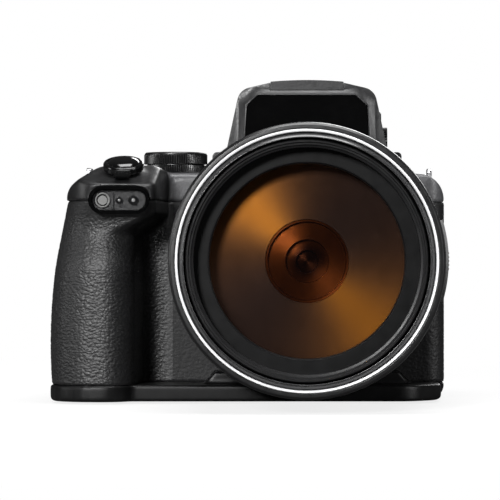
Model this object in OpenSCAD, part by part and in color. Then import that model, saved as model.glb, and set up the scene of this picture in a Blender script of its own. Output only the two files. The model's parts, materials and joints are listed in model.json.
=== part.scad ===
// Bridge camera with a telescoping superzoom lens.
// Millimetres. +Z is up, the lens looks along -Y, +X is the camera's left-hand side.
// The origin is the mouth of the tripod socket, on the base plane below the lens axis.

/* [Body] */
// Height of the lens axis above the base plane
lens_z = 51.8; // [50:0.1:56]
// Lens axis to the left-hand side of the body
body_right = 51.3; // [50.5:0.1:58]
// Tripod socket to the front face of the body
body_front = 22; // [20:0.5:26]
// Tripod socket to the rear face of the body
body_rear = 36; // [34:0.5:42]
// Rise of the top cover's lower seam above the lens axis
seam_rise = 22; // [20:0.5:24]
// Rise of the top deck above the lens axis
deck_rise = 33; // [31:0.5:36]
// Height of the bottom plate's upper seam
cap_z = 6.8; // [5.6:0.1:8]
// Height of the feet under the bottom plate
foot_h = 0.8; // [0.4:0.1:1.5]
// Thickness of the moulded walls
wall = 2; // [1.6:0.1:2.6]
// Thickness of the rubber skin and the leatherette
skin = 1.4; // [1:0.1:2]
// Depth of the rear shell
rear_t = 10; // [9:0.5:12]

/* [Grip] */
// Lens axis to the outermost point of the grip
grip_reach = 95; // [92:0.5:100]
// Tripod socket to the front of the grip
grip_front = 57; // [54:0.5:62]
// Height at which the grip is widest
belly_z = 22; // [15:1:30]
// Slenderness of the grip's outer curve, larger is straighter
grip_lean = 20.3; // [18:0.1:26]
// Lens axis to the inner side of the grip, at its waist
waist_in = 63.5; // [62:0.5:66]
// Lens axis to the inner side of the grip, at its head
head_in = 55; // [54:0.5:57]
// Depth of the rest for the middle finger
finger_hook = 3.5; // [1:0.5:5]
// Rise of the grip's head above the deck
head_rise = 2.2; // [1.5:0.1:3]

/* [Viewfinder hump] */
// Tripod socket to the front of the hump
hump_front = 47; // [45:0.5:52]
// Tripod socket to the rear of the hump
hump_back = 44; // [42:0.5:48]
// Rise of the hump's roof above the lens axis
hump_rise = 65.4; // [64:0.2:70]
// Half of the hump's width under the roof
hump_half = 24.6; // [23:0.2:28]
// Half of the hump's width at its foot
hump_foot = 30.4; // [29:0.2:32]
// Half width of the flash head
flash_half = 13.4; // [11:0.2:15]
// Depth of the eyecup
eyecup_t = 10; // [8:0.5:14]

/* [Lens] */
// Tripod socket to the front edge of the lens
lens_front = 127.3; // [122:0.1:134]
// Radius of the filter thread
thread_r = 38.5; // [36:0.5:39]
// Length of the filter thread
thread_l = 6; // [4:0.5:7]
// Radius of the clear opening in front of the front element
glass_r = 33.3; // [30:0.1:34]
// Wall of the outer extending tube
stage_1_wall = 1.6; // [1.2:0.1:1.8]
// Wall of the inner extending tube
stage_2_wall = 1.1; // [0.8:0.1:1.2]
// Width of the bright trim ring
trim_w = 1; // [0.6:0.1:1.2]
// Wall of the fixed barrel
barrel_wall = 2.2; // [1.8:0.1:2.4]
// Lens position of the control ring's rear edge
control_w = 52; // [48:0.5:56]
// Width of the control ring
control_l = 18; // [12:0.5:20]
// Number of ribs on the control ring
control_ribs = 90; // [40:2:120]

/* [Controls] */
// Forward tilt of the shutter button
shutter_tilt = 22; // [15:1:28]
// Radius of the shutter button
shutter_r = 5.7; // [5:0.1:6]
// Radius of the zoom lever
zoom_r = 7.4; // [7:0.1:8]
// Radius of the mode dial
dial_r = 12; // [10:0.5:12.5]
// Height of the lower tier of the mode dial
dial_tier = 3.2; // [2.8:0.1:4]
// Height of the upper tier of the mode dial
dial_upper = 4.4; // [3.8:0.1:5]
// Radius of the command dial
command_r = 8; // [7:0.5:8.5]
// Radius of the rear selector ring
selector_r = 11; // [9:0.5:11.5]
// Radius of the small rear buttons
key_r = 3; // [2.2:0.1:3.4]
// Proud height of the small buttons
key_proud = 1; // [0.8:0.1:1.4]

/* [Monitor] */
// Width of the monitor
monitor_w = 80; // [70:0.5:82]
// Height of the monitor
monitor_h = 56; // [50:0.5:58]
// Thickness of the monitor
monitor_t = 6.6; // [6:0.1:7]

/* [Fits] */
// Running clearance of shafts in their bores
run = 0.05; // [0.03:0.01:0.08]
// Clearance between sliding tubes and round moving covers
slide = 0.3; // [0.25:0.05:0.4]
// Clearance between fixed pieces
fit = 0.1; // [0.05:0.01:0.15]

/* [Hidden] */
$fn = 96;
over = 0.6;
arc_steps = 8;

seam_z = lens_z + seam_rise;
deck_z = lens_z + deck_rise;
head_z = deck_z + head_rise;
roof_z = lens_z + hump_rise;
shoe_z = roof_z - 3.4;
split_y = body_rear - rear_t;
lining = skin + fit;
corner_r = 7;

// Lens radii, from the thread outwards
filter_r = thread_r + 2.6;
tube_2_in = thread_r + 1.8;
tube_2_out = tube_2_in + stage_2_wall;
tube_1_in = tube_2_out + slide;
tube_1_out = tube_1_in + stage_1_wall;
trim_in = tube_1_out + slide;
trim_out = trim_in + trim_w;
bore_r = trim_out + 0.2;
barrel_r = bore_r + barrel_wall;
neck_r = barrel_r - 0.5;
control_in = neck_r + slide;
control_out = barrel_r + 2.5;
base_r = control_out + 0.2;
pad_r = base_r + 1.8;

// Lens stations, measured forwards from the tripod socket
base_w = body_front - lining;
control_end = control_w + control_l;
trim_w0 = lens_front - 2.3;
trim_front = lens_front - 0.5;
rim_front = lens_front - 0.7;
tube_1_front = lens_front;
tube_1_back = control_w;
tube_chamfer = 1.3;
tube_2_front = lens_front - 5;
tube_2_back = control_w + 6;
filter_front = lens_front - 1;
thread_w1 = filter_front - 2;
thread_w0 = thread_w1 - thread_l;
retain_w = thread_w0 - 0.2;
glass_w = retain_w - 7;
glass_t = 2;
dish_w = glass_w - glass_t - 1.2;
cell_r = 14.4;
cell_crown = 0.7;
cell_eye = 7.4;
cell_bore = thread_r + 0.8;
filter_back = dish_w - 2.2;
glass_rim = glass_r + 3.6;
dome_r = 150;
dome_facets = 480;
dome_h = dome_r - sqrt(dome_r * dome_r - glass_r * glass_r);

// Grip seams and the finger rest
grip_seam_x = 50;
hook_z = seam_z - 11;
hook_half = 15;
valley_step = 3;
overhang_low = 13;
overhang_h = 9;
head_round = 7;
nose_round = 11;
head_corner = 4.5;

// Shutter seat on the sloping head of the grip
shutter_x = -66.8;
shutter_y = -grip_front + 12.5;
seat_z = head_z - 3.1;
seat_rise = 1;
lever_h = 3.3;
lever_floor = 1.1;
shutter_travel = 0.7;
shutter_crown = 1.2;
crown_steps = 8;
stem_r = 2.1;
hub_r = 3.6;

// Places of the dials and top buttons
dial_x = -49.8;
dial_y = 0;
dial_shaft = 3;
dial_gap = 0.3;
dial_ribs = 84;
dial_cap = 0.9;
command_x = -74;
command_y = 29;
command_z = seam_z + 3;
command_t = 5;
power_at = [-65, shutter_y + 19.5];
fn_at = [-70, shutter_y + 32.5];
power_r = 4;
fn_r = 2.8;
top_wall = 2.6;

// Lamp window in the head of the grip
lamp_x = -67.9;
lamp_w = 22;
lamp_h = 10;
lamp_rim = 1.2;
lamp_deep = 4;
lamp_spots = [[-6.6, 2.6], [-0.2, 1.1], [5, 1.6]];
lamp_face = grip_front + 0.4;

// Flash hinge
flash_axis_y = -10;
flash_axis_z = roof_z - 3;
flash_barrel = 2.4;
flash_pin = 1;
flash_floor = roof_z - 3;
flash_step_y = flash_axis_y + flash_barrel + 0.4;
flash_block_z = roof_z - 11.8;
flash_round = 0.5;
flash_crown = 1;
flash_crown_r = 150;

// Monitor hinge, whose axis is the centre of the body's rear corner
hinge_r = 2.7;
hinge_x = body_right - hinge_r;
hinge_y = body_rear - hinge_r;
hinge_pin = 1.2;
arm_z0 = lens_z - 27;
arm_z1 = lens_z - 3;
monitor_right = hinge_x - hinge_r - slide;
monitor_z0 = lens_z - 43;
monitor_y0 = body_rear - monitor_t;

// Battery door and port cover
door_x0 = -88;
door_y0 = -44;
door_y1 = 14;
door_t = 2;
door_axis_x = -64.7;
door_axis_z = foot_h + 1.2;
door_knuckle = 1;
door_pin = 0.5;
port_axis_x = body_right - 2.1;
port_axis_y = -7.2;
port_z0 = lens_z - 27;
port_z1 = lens_z + 7;
port_y1 = 12;
port_t = 2.4;
port_knuckle = 0.8;
port_pin = 0.4;
port_near = port_axis_y + 2.5;

// Side lever on the lens base, seen from the front at three o'clock
lever_w0 = 30;
lever_w1 = 46;
lever_half = 8;
lever_swing = 6;
lever_floor_r = base_r - 1.6;
snap_angle = -38;
snap_w = 38;
snap_r = 3;

// Rear controls
selector_at = [-62, 34];
rear_wall = 2.4;
key_flange = 0.8;
key_stop = 0.2;
ok_r = 4.4;
selector_t = 1.6;
menu_at = [-76, 16];
delete_at = [-50, 16];
play_at = [-48, 55];
record_at = [-60, 62];

// Flash button and diopter dial on the hump's left-hand side
flash_key_x = hump_half + 2.2;
flash_key_wall = wall + 0.8;
flash_key_y = -32;
flash_key_z = lens_z + 52;
diopter_x = hump_half + 3.2;
diopter_y = 30;
diopter_z = lens_z + 47;
diopter_r = 5;
diopter_shaft = 1.5;

// Thumb rest, and the battery above its door
thumb_out = 83.6;
thumb_z = 30;
thumb_t = 1.6;
battery_at = [-84, -40];
battery_size = [14, 31, 48];

// Chin and cradle under the lens
chin_front = 50;
chin_side = 38;
base_round = [5, 3.4];
cradle_in = 20;
cradle_half = 38;
cradle_slant = 4;
cradle_rise = 4.2;
cradle_front = 40;

// Tripod socket
socket_r = 7;
socket_bore = 3.175;
socket_l = 5.5;
socket_top = cap_z + 1;

// Strap lugs
lug_t = 1.6;
lug_l = 13;
lug_slot = 2.4;
lug_bar = 1.4;
lug_y = -5;
lug_foot = 2;
lug_places = [[body_right - 5.2, lug_y, deck_z - 2], [-82, lug_y, head_z - 4]];

// Case screws in the base, and the big capacitor on the board
screw_places = [[-40, 30], [30, 30], [46, 8], [-34, -16], [34, -16]];
screw_head_r = 1.8;
screw_r = 0.9;
capacitor_at = [-36, split_y - 6.6, seam_z - 36];
chassis_t = 1.5;
chassis_x = [-46, 44];
chassis_floor = 38;
chassis_hole = 27;
board_x = [-46, 45];
board_margin = [5, 4];
chassis_back = body_front - lining - wall - fit - chassis_t;

// Front panel of the hump: corners of one half, its depth and thickness, and the slope round it
panel_half = [22.8, 21.9, 17.8];
panel_rise = [40, 56.8, 60.4];
panel_corners = [for (i = [0:2]) [panel_half[i], lens_z + panel_rise[i]]];
panel_sink = 0.3;
panel_t = 1.2;
panel_rim = 0.5;
slope_w = 2.2;
slope_depth = 1.6;

// How much the hump draws in above its foot
hump_taper = 1.2;

// Eyepiece opening
eye_z = deck_z + 14;
eye_w = 22;
eye_h = 15;

// Helpers: easing, rounded outlines and lofts

function lerp(a, b, t) = a + (b - a) * t;
function ease(t) = t <= 0 ? 0 : t >= 1 ? 1 : t * t * (3 - 2 * t);
function wrap(a) = a > 180 ? a - 360 : a < -180 ? a + 360 : a;

// Arc that rounds corner c between its neighbours p and q; c is [x, y, radius]
function corner_arc(p, c, q) =
    c[2] <= 0 ? [[c.x, c.y]] :
    let (
        u = [p.x - c.x, p.y - c.y] / norm([p.x - c.x, p.y - c.y]),
        v = [q.x - c.x, q.y - c.y] / norm([q.x - c.x, q.y - c.y]),
        half = acos(u * v) / 2,
        mid = (u + v) / norm(u + v),
        o = [c.x, c.y] + mid * c[2] / sin(half),
        s = [c.x, c.y] + u * c[2] / tan(half) - o,
        e = [c.x, c.y] + v * c[2] / tan(half) - o,
        a0 = atan2(s.y, s.x),
        turn = wrap(atan2(e.y, e.x) - a0)
    )
    [for (k = [0:arc_steps]) o + c[2] * [cos(a0 + turn * k / arc_steps), sin(a0 + turn * k / arc_steps)]];

function rounded(c) =
    let (n = len(c))
    [for (i = [0:n - 1]) each corner_arc(c[(i + n - 1) % n], c[i], c[(i + 1) % n])];

// Same outline mirrored about X = 0, for symmetric front views
function both_sides(half) =
    concat(half, [for (i = [len(half) - 1:-1:0]) [-half[i].x, half[i].y, half[i][2]]]);

// Prism of a front view (X, Z) from y0 to y1
module front_prism(points, y0, y1)
    translate([0, y1, 0]) rotate([90, 0, 0]) linear_extrude(y1 - y0) polygon(points);

// Prism of a side view (Y, Z) from x0 to x1
module side_prism(points, x0, x1)
    translate([x0, 0, 0]) rotate([90, 0, 90]) linear_extrude(x1 - x0) polygon(points);

// Prism of a plan view (X, Y) from z0 to z1
module plan_prism(points, z0, z1)
    translate([0, 0, z0]) linear_extrude(z1 - z0) polygon(points);

// Box given by its two corners
module block(a, b) translate(a) cube(b - a);

// Slot with round ends in a front view
module obround(x, z, w, h, y0, y1)
    front_prism(rounded([[x - w / 2, z - h / 2, h * 0.499], [x - w / 2, z + h / 2, h * 0.499],
        [x + w / 2, z + h / 2, h * 0.499], [x + w / 2, z - h / 2, h * 0.499]]), y0, y1);

// Lens pieces are drawn along +Z, forwards
module on_lens() translate([0, 0, lens_z]) rotate([90, 0, 0]) children();
module turned(profile) on_lens() rotate_extrude() polygon(profile);
module lens_cut(r, w0, w1) on_lens() translate([0, 0, w0]) cylinder(h = w1 - w0, r = r);

module on_seat() translate([shutter_x, shutter_y, seat_z]) rotate([shutter_tilt, 0, 0])
    translate([0, 0, seat_rise]) children();
module on_rear(at) translate([at.x, body_rear, at.y]) rotate([-90, 0, 0]) children();
module on_top(at, z) translate([at.x, at.y, z]) children();
module on_left(x, y, z) translate([x, y, z]) rotate([0, 90, 0]) children();
module on_base(angle, w) on_lens() rotate([0, 0, angle]) translate([base_r, 0, w])
    rotate([0, 90, 0]) children();

// Push button whose flange sits behind a wall; z = 0 is the wall's outer face
module push_button(r, thick, proud) {
    edge = 0.4;
    back = -thick - key_stop - key_flange;
    rotate_extrude() polygon([[0, back], [r + key_flange, back], [r + key_flange, back + key_flange],
        [r, back + key_flange], [r, proud - edge], [r - edge, proud], [0, proud]]);
}
module button_hole(r, thick) translate([0, 0, -thick - over])
    cylinder(h = thick + 2 * over, r = r + slide);

// Knurled disc: a star outline with fine ribs
module knurled(r, h, ribs, depth)
    linear_extrude(h) polygon([for (i = [0:2 * ribs - 1])
        (r - (i % 2) * depth) * [cos(180 * i / ribs), sin(180 * i / ribs)]]);

// Grip outline at height z, drawn in by e
function grip_out(z) = grip_reach - pow((z - belly_z) / grip_lean, 2);
function grip_nose(z) = -grip_front + finger_hook * (1 - ease(abs(z - hook_z) / hook_half));
function head_blend(z) = ease((z - seam_z + overhang_low) / overhang_h);
function grip_in(z) = lerp(waist_in, head_in, head_blend(z));
function grip_corners(z, e) = [
    [-grip_in(z) + valley_step - e, -body_front + e, lerp(6, 1.2, head_blend(z)) + e],
    [-grip_in(z) - e, grip_nose(z) + e, lerp(nose_round, head_corner, head_blend(z)) - min(e, 4)],
    [-grip_out(z) + e, grip_nose(z) + 2 + e, 17 - e]
];
function grip_plan(z, e, x) = rounded(concat(
    [[-grip_seam_x + x, split_y + x, 0], [-grip_seam_x + x, -body_front + e, 0]],
    grip_corners(z, e),
    [[-grip_out(z) + 2.5 + e, split_y + x, 0]]));

// Loft of the grip from z0 to z1, drawn in by e and run on by x past its seams
module grip_loft(z0, z1, e, x) {
    steps = 18;
    zs = [for (i = [0:steps]) lerp(z0, z1, i / steps)];
    rings = [for (z = zs) grip_plan(z, e, x)];
    n = len(rings[0]);
    points = [for (i = [0:steps]) for (p = rings[i]) [p.x, p.y,
        zs[i] + (i == 0 ? -x : i == steps ? x : 0)]];
    sides = [for (i = [0:steps - 1]) for (j = [0:n - 1]) let (k = (j + 1) % n)
        each [[i * n + j, i * n + k, (i + 1) * n + k], [i * n + j, (i + 1) * n + k, (i + 1) * n + j]]];
    floor_face = [for (j = [n - 1:-1:0]) j];
    roof_face = [for (j = [0:n - 1]) steps * n + j];
    polyhedron(points, concat([floor_face, roof_face], sides));
}

// Plan of the whole base, drawn in by e
function base_plan(e) = rounded(concat(
    [[body_right - e, body_rear - e, hinge_r - min(e, 2)], [body_right - e, -body_front + e,
        corner_r - e]],
    grip_corners(cap_z, e),
    [[-grip_out(cap_z) + 2.5 + e, body_rear - e, 8 - e]]));

// Plan of the body box to the left of the grip seam
function box_plan(e, y1) = rounded([[body_right - e, y1, 0], [body_right - e, -body_front + e,
    corner_r - e],
    [-grip_seam_x, -body_front + e, 0], [-grip_seam_x, y1, 0]]);

// Front view of the bottom plate, with its rounded lower corners
function base_front() = rounded([[-grip_reach - 1, cap_z, 0], [body_right, cap_z, 0], [body_right,
    foot_h, base_round[0]],
    [-grip_reach + 0.8, foot_h, base_round[1]]]);

// Front view of the cradle on the lens's side s, with its slanted end, grown by e
function cradle_view(s, e) = [[s * cradle_in, foot_h], [s * (cradle_half + e), foot_h],
    [s * (cradle_half + e), cap_z], [s * (cradle_half - cradle_slant + e), cap_z + cradle_rise + e],
    [s * cradle_in, cap_z + cradle_rise + e]];

// Front view of the hump, drawn in by e
function hump_half_view(e) = [
    [hump_foot - e, deck_z - over, 0],
    [hump_foot - hump_taper - e, deck_z + 8, 3],
    [hump_half + 1.5 - e, lens_z + 55.5, 30],
    [hump_half - e, roof_z - 3 - e, 5.6],
    [flash_half, roof_z - 0.4 - e, 2]
];
function hump_view(e) = rounded(both_sides(hump_half_view(e)));
function hump_side(e) = rounded([
    [-hump_front + e, deck_z - over, 0], [-hump_front + e, roof_z - e, 1.2],
    [flash_step_y, roof_z - e, 0], [flash_step_y, shoe_z - e, 0],
    [24, shoe_z - e, 8], [hump_back - e, shoe_z - 3 - e, 5], [hump_back - e, deck_z + 2 + e, 3],
    [body_rear - e, deck_z + 2 + e, 0], [body_rear - e, deck_z - over, 0]]);

// Plan of the hump, which narrows towards the eyepiece
function hump_plan(e) = rounded(both_sides([[hump_foot - e, -hump_front - 1, 0], [hump_foot - e, 2, 60],
    [23 - e, hump_back - e, 5]]));

// Front panel of the hump, drawn in by e
function panel_view(e) = rounded(both_sides([for (c = panel_corners) [c.x - e, c.y - e, 0.6]]));

// Block behind the slope outside one edge of the front panel, from corner a to corner b
module slope_block(a, b) {
    along = [b.x - a.x, b.y - a.y];
    reach = 80;
    rise = slope_w / slope_depth;
    translate([a.x, -hump_front, a.y]) rotate([0, -atan2(along.y, along.x), 0])
        side_prism([[-over, -reach], [-over, panel_rim - over * rise],
            [slope_depth + 2 * over, panel_rim + slope_w + 2 * over * rise],
            [slope_depth + 2 * over, -reach]], -reach, reach);
}

// Raised field round the front panel, with a slope along its top, corners and sides
module panel_field() intersection() {
    front_prism(hump_view(0), -hump_front, -hump_front + slope_depth + over);
    slope_block([-panel_corners[2].x, panel_corners[2].y], panel_corners[2]);
    slope_block(panel_corners[2], panel_corners[1]);
    slope_block(panel_corners[1], panel_corners[0]);
    mirror([1, 0, 0]) slope_block(panel_corners[2], panel_corners[1]);
    mirror([1, 0, 0]) slope_block(panel_corners[1], panel_corners[0]);
}

// Pocket of the lamp bezel, shared by the head and the grip
module lamp_pocket() obround(lamp_x, seam_z, lamp_w + 2 * fit, lamp_h + 2 * fit,
    -grip_front - over, -grip_front + lamp_deep + fit);

// Body shells

module front_shell() color("#26262a") difference() {
    plan_prism(box_plan(lining, split_y), cap_z, seam_z);
    plan_prism(rounded([[body_right - lining - wall, split_y + over, 0],
        [body_right - lining - wall, -body_front + lining + wall, corner_r - lining - wall],
        [-grip_seam_x - over, -body_front + lining + wall, 0], [-grip_seam_x - over, split_y + over, 0]]),
        cap_z - over, seam_z + over);
    lens_cut(bore_r, 0, body_front + over);
    // recess, hinge pins and port window behind the port cover
    block([body_right - port_t - fit, port_near - slide, port_z0 - slide],
        [body_right + over, port_y1 + slide, port_z1 + slide]);
    block([port_axis_x - port_knuckle - slide, port_axis_y - port_knuckle - slide, port_z0 + 3 - slide],
        [body_right + over, port_near, port_z1 - 3 + slide]);
    translate([port_axis_x, port_axis_y, port_z0]) cylinder(h = port_z1 - port_z0,
        r = port_pin + run, $fn = 32);
    block([body_right - lining - wall - over, -1, port_z0 + 3], [body_right, 9, port_z1 - 3]);
}

module grip_shell() color("#202024") difference() {
    grip_loft(cap_z, seam_z, lining, 0);
    grip_loft(cap_z, seam_z, lining + wall, over);
    lens_cut(base_r + slide, 0, body_front + over);
    lamp_pocket();
}

module rear_shell() color("#242427") difference() {
    intersection() {
        front_prism(rounded([[body_right, cap_z, 0], [body_right, seam_z, 0],
            [-grip_out(seam_z) + 2.5, seam_z, 0], [-grip_out(belly_z) + 2.5, belly_z + 22, 80],
            [-grip_out(cap_z) + 2.5, cap_z, 0]]), split_y, body_rear);
        plan_prism(base_plan(0), cap_z, seam_z);
    }
    // cavity behind the keys
    block([-grip_out(seam_z) + 7, split_y - over, cap_z + wall], [-40, body_rear - rear_wall,
        seam_z - wall]);
    // monitor bay, open at the hinge
    block([monitor_right - monitor_w - slide, monitor_y0 - slide, monitor_z0 - slide],
        [monitor_right + slide, body_rear + over, monitor_z0 + monitor_h + slide]);
    block([monitor_right - over, monitor_y0 - slide, arm_z0 - slide], [body_right + over,
        body_rear + over, arm_z1 + slide]);
    // round post beside the bay, which the monitor passes as it swings
    difference() {
        block([monitor_right - over, hinge_y, monitor_z0 - slide],
            [hinge_x, body_rear + over, monitor_z0 + monitor_h + slide]);
        translate([hinge_x, hinge_y, 0]) cylinder(h = seam_z, r = hinge_r);
    }
    translate([hinge_x, hinge_y, arm_z0 - 4]) cylinder(h = arm_z1 - arm_z0 + 8,
        r = hinge_pin + run, $fn = 48);
    for (at = [menu_at, delete_at, play_at, record_at])
        on_rear(at) button_hole(key_r, rear_wall);
    on_rear(selector_at) button_hole(selector_r, rear_wall);
}

module top_cover() color("#2b2b2e") difference() {
    union() {
        // deck with its rounded left shoulder
        intersection() {
            plan_prism(rounded([[body_right, body_rear, hinge_r], [body_right, -body_front, corner_r],
                [-grip_seam_x - 2, -body_front, 0], [-grip_seam_x - 2, body_rear, 0]]), seam_z, deck_z);
            front_prism(rounded([[body_right, seam_z - over, 0], [body_right - 0.3, deck_z - 0.6, 10],
                [hump_foot, deck_z, 0], [-grip_seam_x - 3, deck_z, 0], [-grip_seam_x - 3,
                    seam_z - over, 0]]),
                -body_front - over, body_rear + over);
            side_prism(rounded([[-body_front, seam_z - over, 0], [-body_front, deck_z, 3],
                [body_rear, deck_z, 4], [body_rear, seam_z - over, 0]]), -grip_seam_x - 3,
                    body_right + over);
        }
        // head of the grip
        intersection() {
            plan_prism(rounded(concat([[-grip_seam_x, body_rear, 0], [-grip_seam_x, -body_front, 0]],
                grip_corners(seam_z, 0), [[-grip_out(seam_z) + 2.5, body_rear, 3]])), seam_z, head_z);
            front_prism(rounded([[-grip_seam_x, seam_z - over, 0], [-grip_seam_x, head_z, head_round],
                [-76, head_z, 9], [-grip_out(seam_z) + 1.6, seam_z + 5, 5], [-grip_out(seam_z) - over,
                    seam_z - over, 0]]),
                -grip_front - over, body_rear + over);
            side_prism(rounded([[-grip_front - over, seam_z - over, 0],
                [-grip_front - over, seat_z - (grip_front + over + shutter_y) * tan(shutter_tilt), 4],
                [shutter_y + (head_z - seat_z) / tan(shutter_tilt), head_z, 6],
                [body_rear, head_z, 5], [body_rear, seam_z - over, 0]]), -grip_reach - 2,
                    -grip_seam_x + over);
        }
        // collar under the zoom lever
        on_seat() translate([0, 0, -seat_rise - 2]) cylinder(h = seat_rise + 2, r = zoom_r - 0.2);
    }
    // cavities under the deck, the rear of the head and its sloping front
    block([-grip_seam_x + 4, -body_front + wall, seam_z - over], [body_right - 10, body_rear - wall,
        deck_z - top_wall]);
    block([-75, shutter_y + 10.5, seam_z - over], [-58, 18, head_z - top_wall]);
    block([-80, shutter_y - 5.5, seam_z - over], [-60, shutter_y + 10.5 + over, seat_z - 5]);
    // opening under the hump
    block([-hump_half + 3, -body_front + wall, deck_z - top_wall - over], [hump_half - 3, 30,
        deck_z + over]);
    lens_cut(base_r + slide, base_w - fit, body_front + 12);
    // seats of the dials, buttons and lamps
    translate([dial_x, dial_y, deck_z]) cylinder(h = head_rise + over, r = dial_r + 0.5);
    translate([dial_x, dial_y, deck_z - top_wall - over])
        cylinder(h = top_wall + 2 * over, r = dial_shaft + run);
    translate([command_x, command_y, command_z - slide])
        cylinder(h = command_t + 2 * slide, r = command_r + 0.4);
    translate([command_x, command_y, command_z - 2]) cylinder(h = command_t + 4, r = 1.5 + run);
    on_top(power_at, head_z) button_hole(power_r, top_wall);
    on_top(fn_at, head_z) button_hole(fn_r, top_wall);
    on_seat() translate([0, 0, -12]) cylinder(h = 12 + over, r = hub_r + run);
    lamp_pocket();
    for (p = lug_places) translate(p)
        block([-lug_t / 2 - fit, -lug_l / 2 - fit, -lug_foot - fit], [lug_t / 2 + fit,
            lug_l / 2 + fit, 10]);
}

module hump_cover() color("#3a3a3d") difference() {
    union() {
        difference() {
            intersection() {
                union() {
                    front_prism(hump_view(0), -hump_front + slope_depth, hump_back);
                    panel_field();
                }
                side_prism(hump_side(0), -hump_foot - 1, hump_foot + 1);
                plan_prism(hump_plan(0), deck_z - 2, roof_z + 2);
            }
            intersection() {
                front_prism(hump_view(wall), -hump_front + wall + 3.4, hump_back - wall);
                side_prism(hump_side(wall), -hump_foot, hump_foot);
                plan_prism(hump_plan(wall), deck_z - 2, roof_z + 2);
            }
            block([-50, -60, deck_z - 2], [50, 60, deck_z]);
        }
        // stepped foot
        difference() {
            front_prism(rounded([[-35.4, deck_z, 0], [-35.2, deck_z + 7.6, 1.5], [35.2,
                deck_z + 7.6, 1.5], [35.4, deck_z, 0]]),
                -body_front + 1.6, 18);
            block([-hump_foot + wall, -body_front + wall + 1.6, deck_z - over],
                [hump_foot - wall, 18 - wall, deck_z + 9]);
        }
        // boss behind the diopter dial
        on_left(hump_half - 3, diopter_y, diopter_z)
            cylinder(h = diopter_x - slide - hump_half + 3, r = diopter_r + 1.4);
        // bosses of the flash hinge
        for (s = [-1, 1])
            block([s * (flash_half + 2.4) - 2, flash_axis_y - 2.4, flash_axis_z - 2.4],
                [s * (flash_half + 2.4) + 2, flash_axis_y + 2.4, flash_axis_z + 1.6]);
    }
    lens_cut(base_r + slide, body_front - 3, hump_front + over);
    // bay of the flash head
    block([-flash_half - fit, -hump_front - over, flash_floor - slide],
        [flash_half + fit, flash_step_y, roof_z + over]);
    translate([-flash_half - 6, flash_axis_y, flash_axis_z]) rotate([0, 90, 0])
        cylinder(h = 2 * flash_half + 12, r = flash_pin + run, $fn = 32);
    // seat of the front panel
    front_prism(panel_view(-fit), -hump_front - over, -hump_front + panel_sink + panel_t + fit);
    // eyepiece, diopter dial and flash button
    obround(0, eye_z, eye_w, eye_h, hump_back - wall - over, hump_back + over);
    on_left(diopter_x - slide, diopter_y, diopter_z) cylinder(h = 10, r = diopter_r + slide);
    on_left(hump_half - 4, diopter_y, diopter_z) cylinder(h = 8, r = diopter_shaft + run, $fn = 32);
    on_left(hump_half - 2, flash_key_y, flash_key_z) cylinder(h = 10, r = key_r + slide);
}

module bottom_plate() color("#28282b") difference() {
    union() {
        intersection() {
            union() {
                plan_prism(base_plan(0), foot_h, cap_z);
                // chin under the lens
                plan_prism(rounded([[body_right - 2, -body_front + 2, 0], [body_right - 2, -chin_side, 4],
                    [cradle_half, -chin_front, 12], [-waist_in - 1, -chin_front, 0],
                    [-waist_in - 1, -body_front + 2, 0]]), foot_h, cap_z);
            }
            front_prism(base_front(), -grip_front - over, body_rear + over);
        }
        // cradle on both sides of the lens
        for (s = [-1, 1]) front_prism(cradle_view(s, 0), -cradle_front, -body_front + 1);
        for (p = [[-56, -16], [44, -12], [44, 28], [-78, 28]])
            translate([p.x, p.y, 0]) cylinder(h = foot_h + over, r = 2.2);
    }
    plan_prism(base_plan(wall), foot_h + wall, cap_z + over);
    lens_cut(base_r + slide, body_front - lining - fit, 70);
    plan_prism([[-40, -body_front + lining], [-40, -body_front + 3], [40, -body_front + 3], [40,
        -body_front + lining]], cap_z, cap_z + 9);
    translate([0, 0, -over]) cylinder(h = 12, r = socket_r + fit);
    block([door_x0 - slide, door_y0 - slide, 0], [door_axis_x + door_knuckle + 3 * slide, door_y1 + slide,
        cap_z + over]);
    translate([door_axis_x, door_y0 - 4, door_axis_z]) rotate([-90, 0, 0])
        cylinder(h = door_y1 - door_y0 + 8, r = door_pin + run, $fn = 32);
    for (p = screw_places) translate([p.x, p.y, 0]) {
        translate([0, 0, foot_h - over]) cylinder(h = 1.4 + over, r = screw_head_r + fit, $fn = 32);
        cylinder(h = 9, r = screw_r + fit, $fn = 32);
    }
}

// Skins and panels

module grip_rubber() color("#2e2e30") difference() {
    grip_loft(cap_z, seam_z, 0, 0);
    grip_loft(cap_z, seam_z, skin, over);
    lens_cut(base_r + slide, 0, body_front + over);
    lamp_pocket();
}

module leather_panels() color("#303033") {
    difference() {
        block([-grip_seam_x + fit, -body_front, cap_z + fit], [-20, -body_front + skin, seam_z - fit]);
        lens_cut(base_r + slide, 0, body_front + over);
        front_prism(cradle_view(-1, 2 * fit), -body_front - over, 0);
        block([-grip_seam_x - 1, -30, lens_z - 12], [0, 0, lens_z + 12]);
        block([-40, -30, lens_z], [0, 0, 200]);
    }
    difference() {
        plan_prism(rounded([[body_right, split_y - fit, 0], [body_right, -body_front, corner_r], [20,
            -body_front, 0],
            [20, -body_front + skin, 0], [body_right - skin, -body_front + skin, corner_r - skin],
            [body_right - skin, split_y - fit, 0]]), cap_z + fit, seam_z - fit);
        lens_cut(base_r + slide, 0, body_front + over);
        front_prism(cradle_view(1, 2 * fit), -body_front - over, 0);
        block([0, -30, lens_z], [40, -10, 200]);
        block([body_right - 3, port_axis_y - 1.3, port_z0 - slide], [body_right + over, port_y1 + slide,
            port_z1 + slide]);
    }
}

module thumb_rest() color("#2a2a2c") front_prism(rounded([[-thumb_out, thumb_z, 3],
    [-thumb_out + 0.6, seam_z - 4, 4], [-thumb_out + 9, seam_z - 2, 4], [-thumb_out + 7.6, thumb_z, 3]]),
    body_rear, body_rear + thumb_t);

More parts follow.
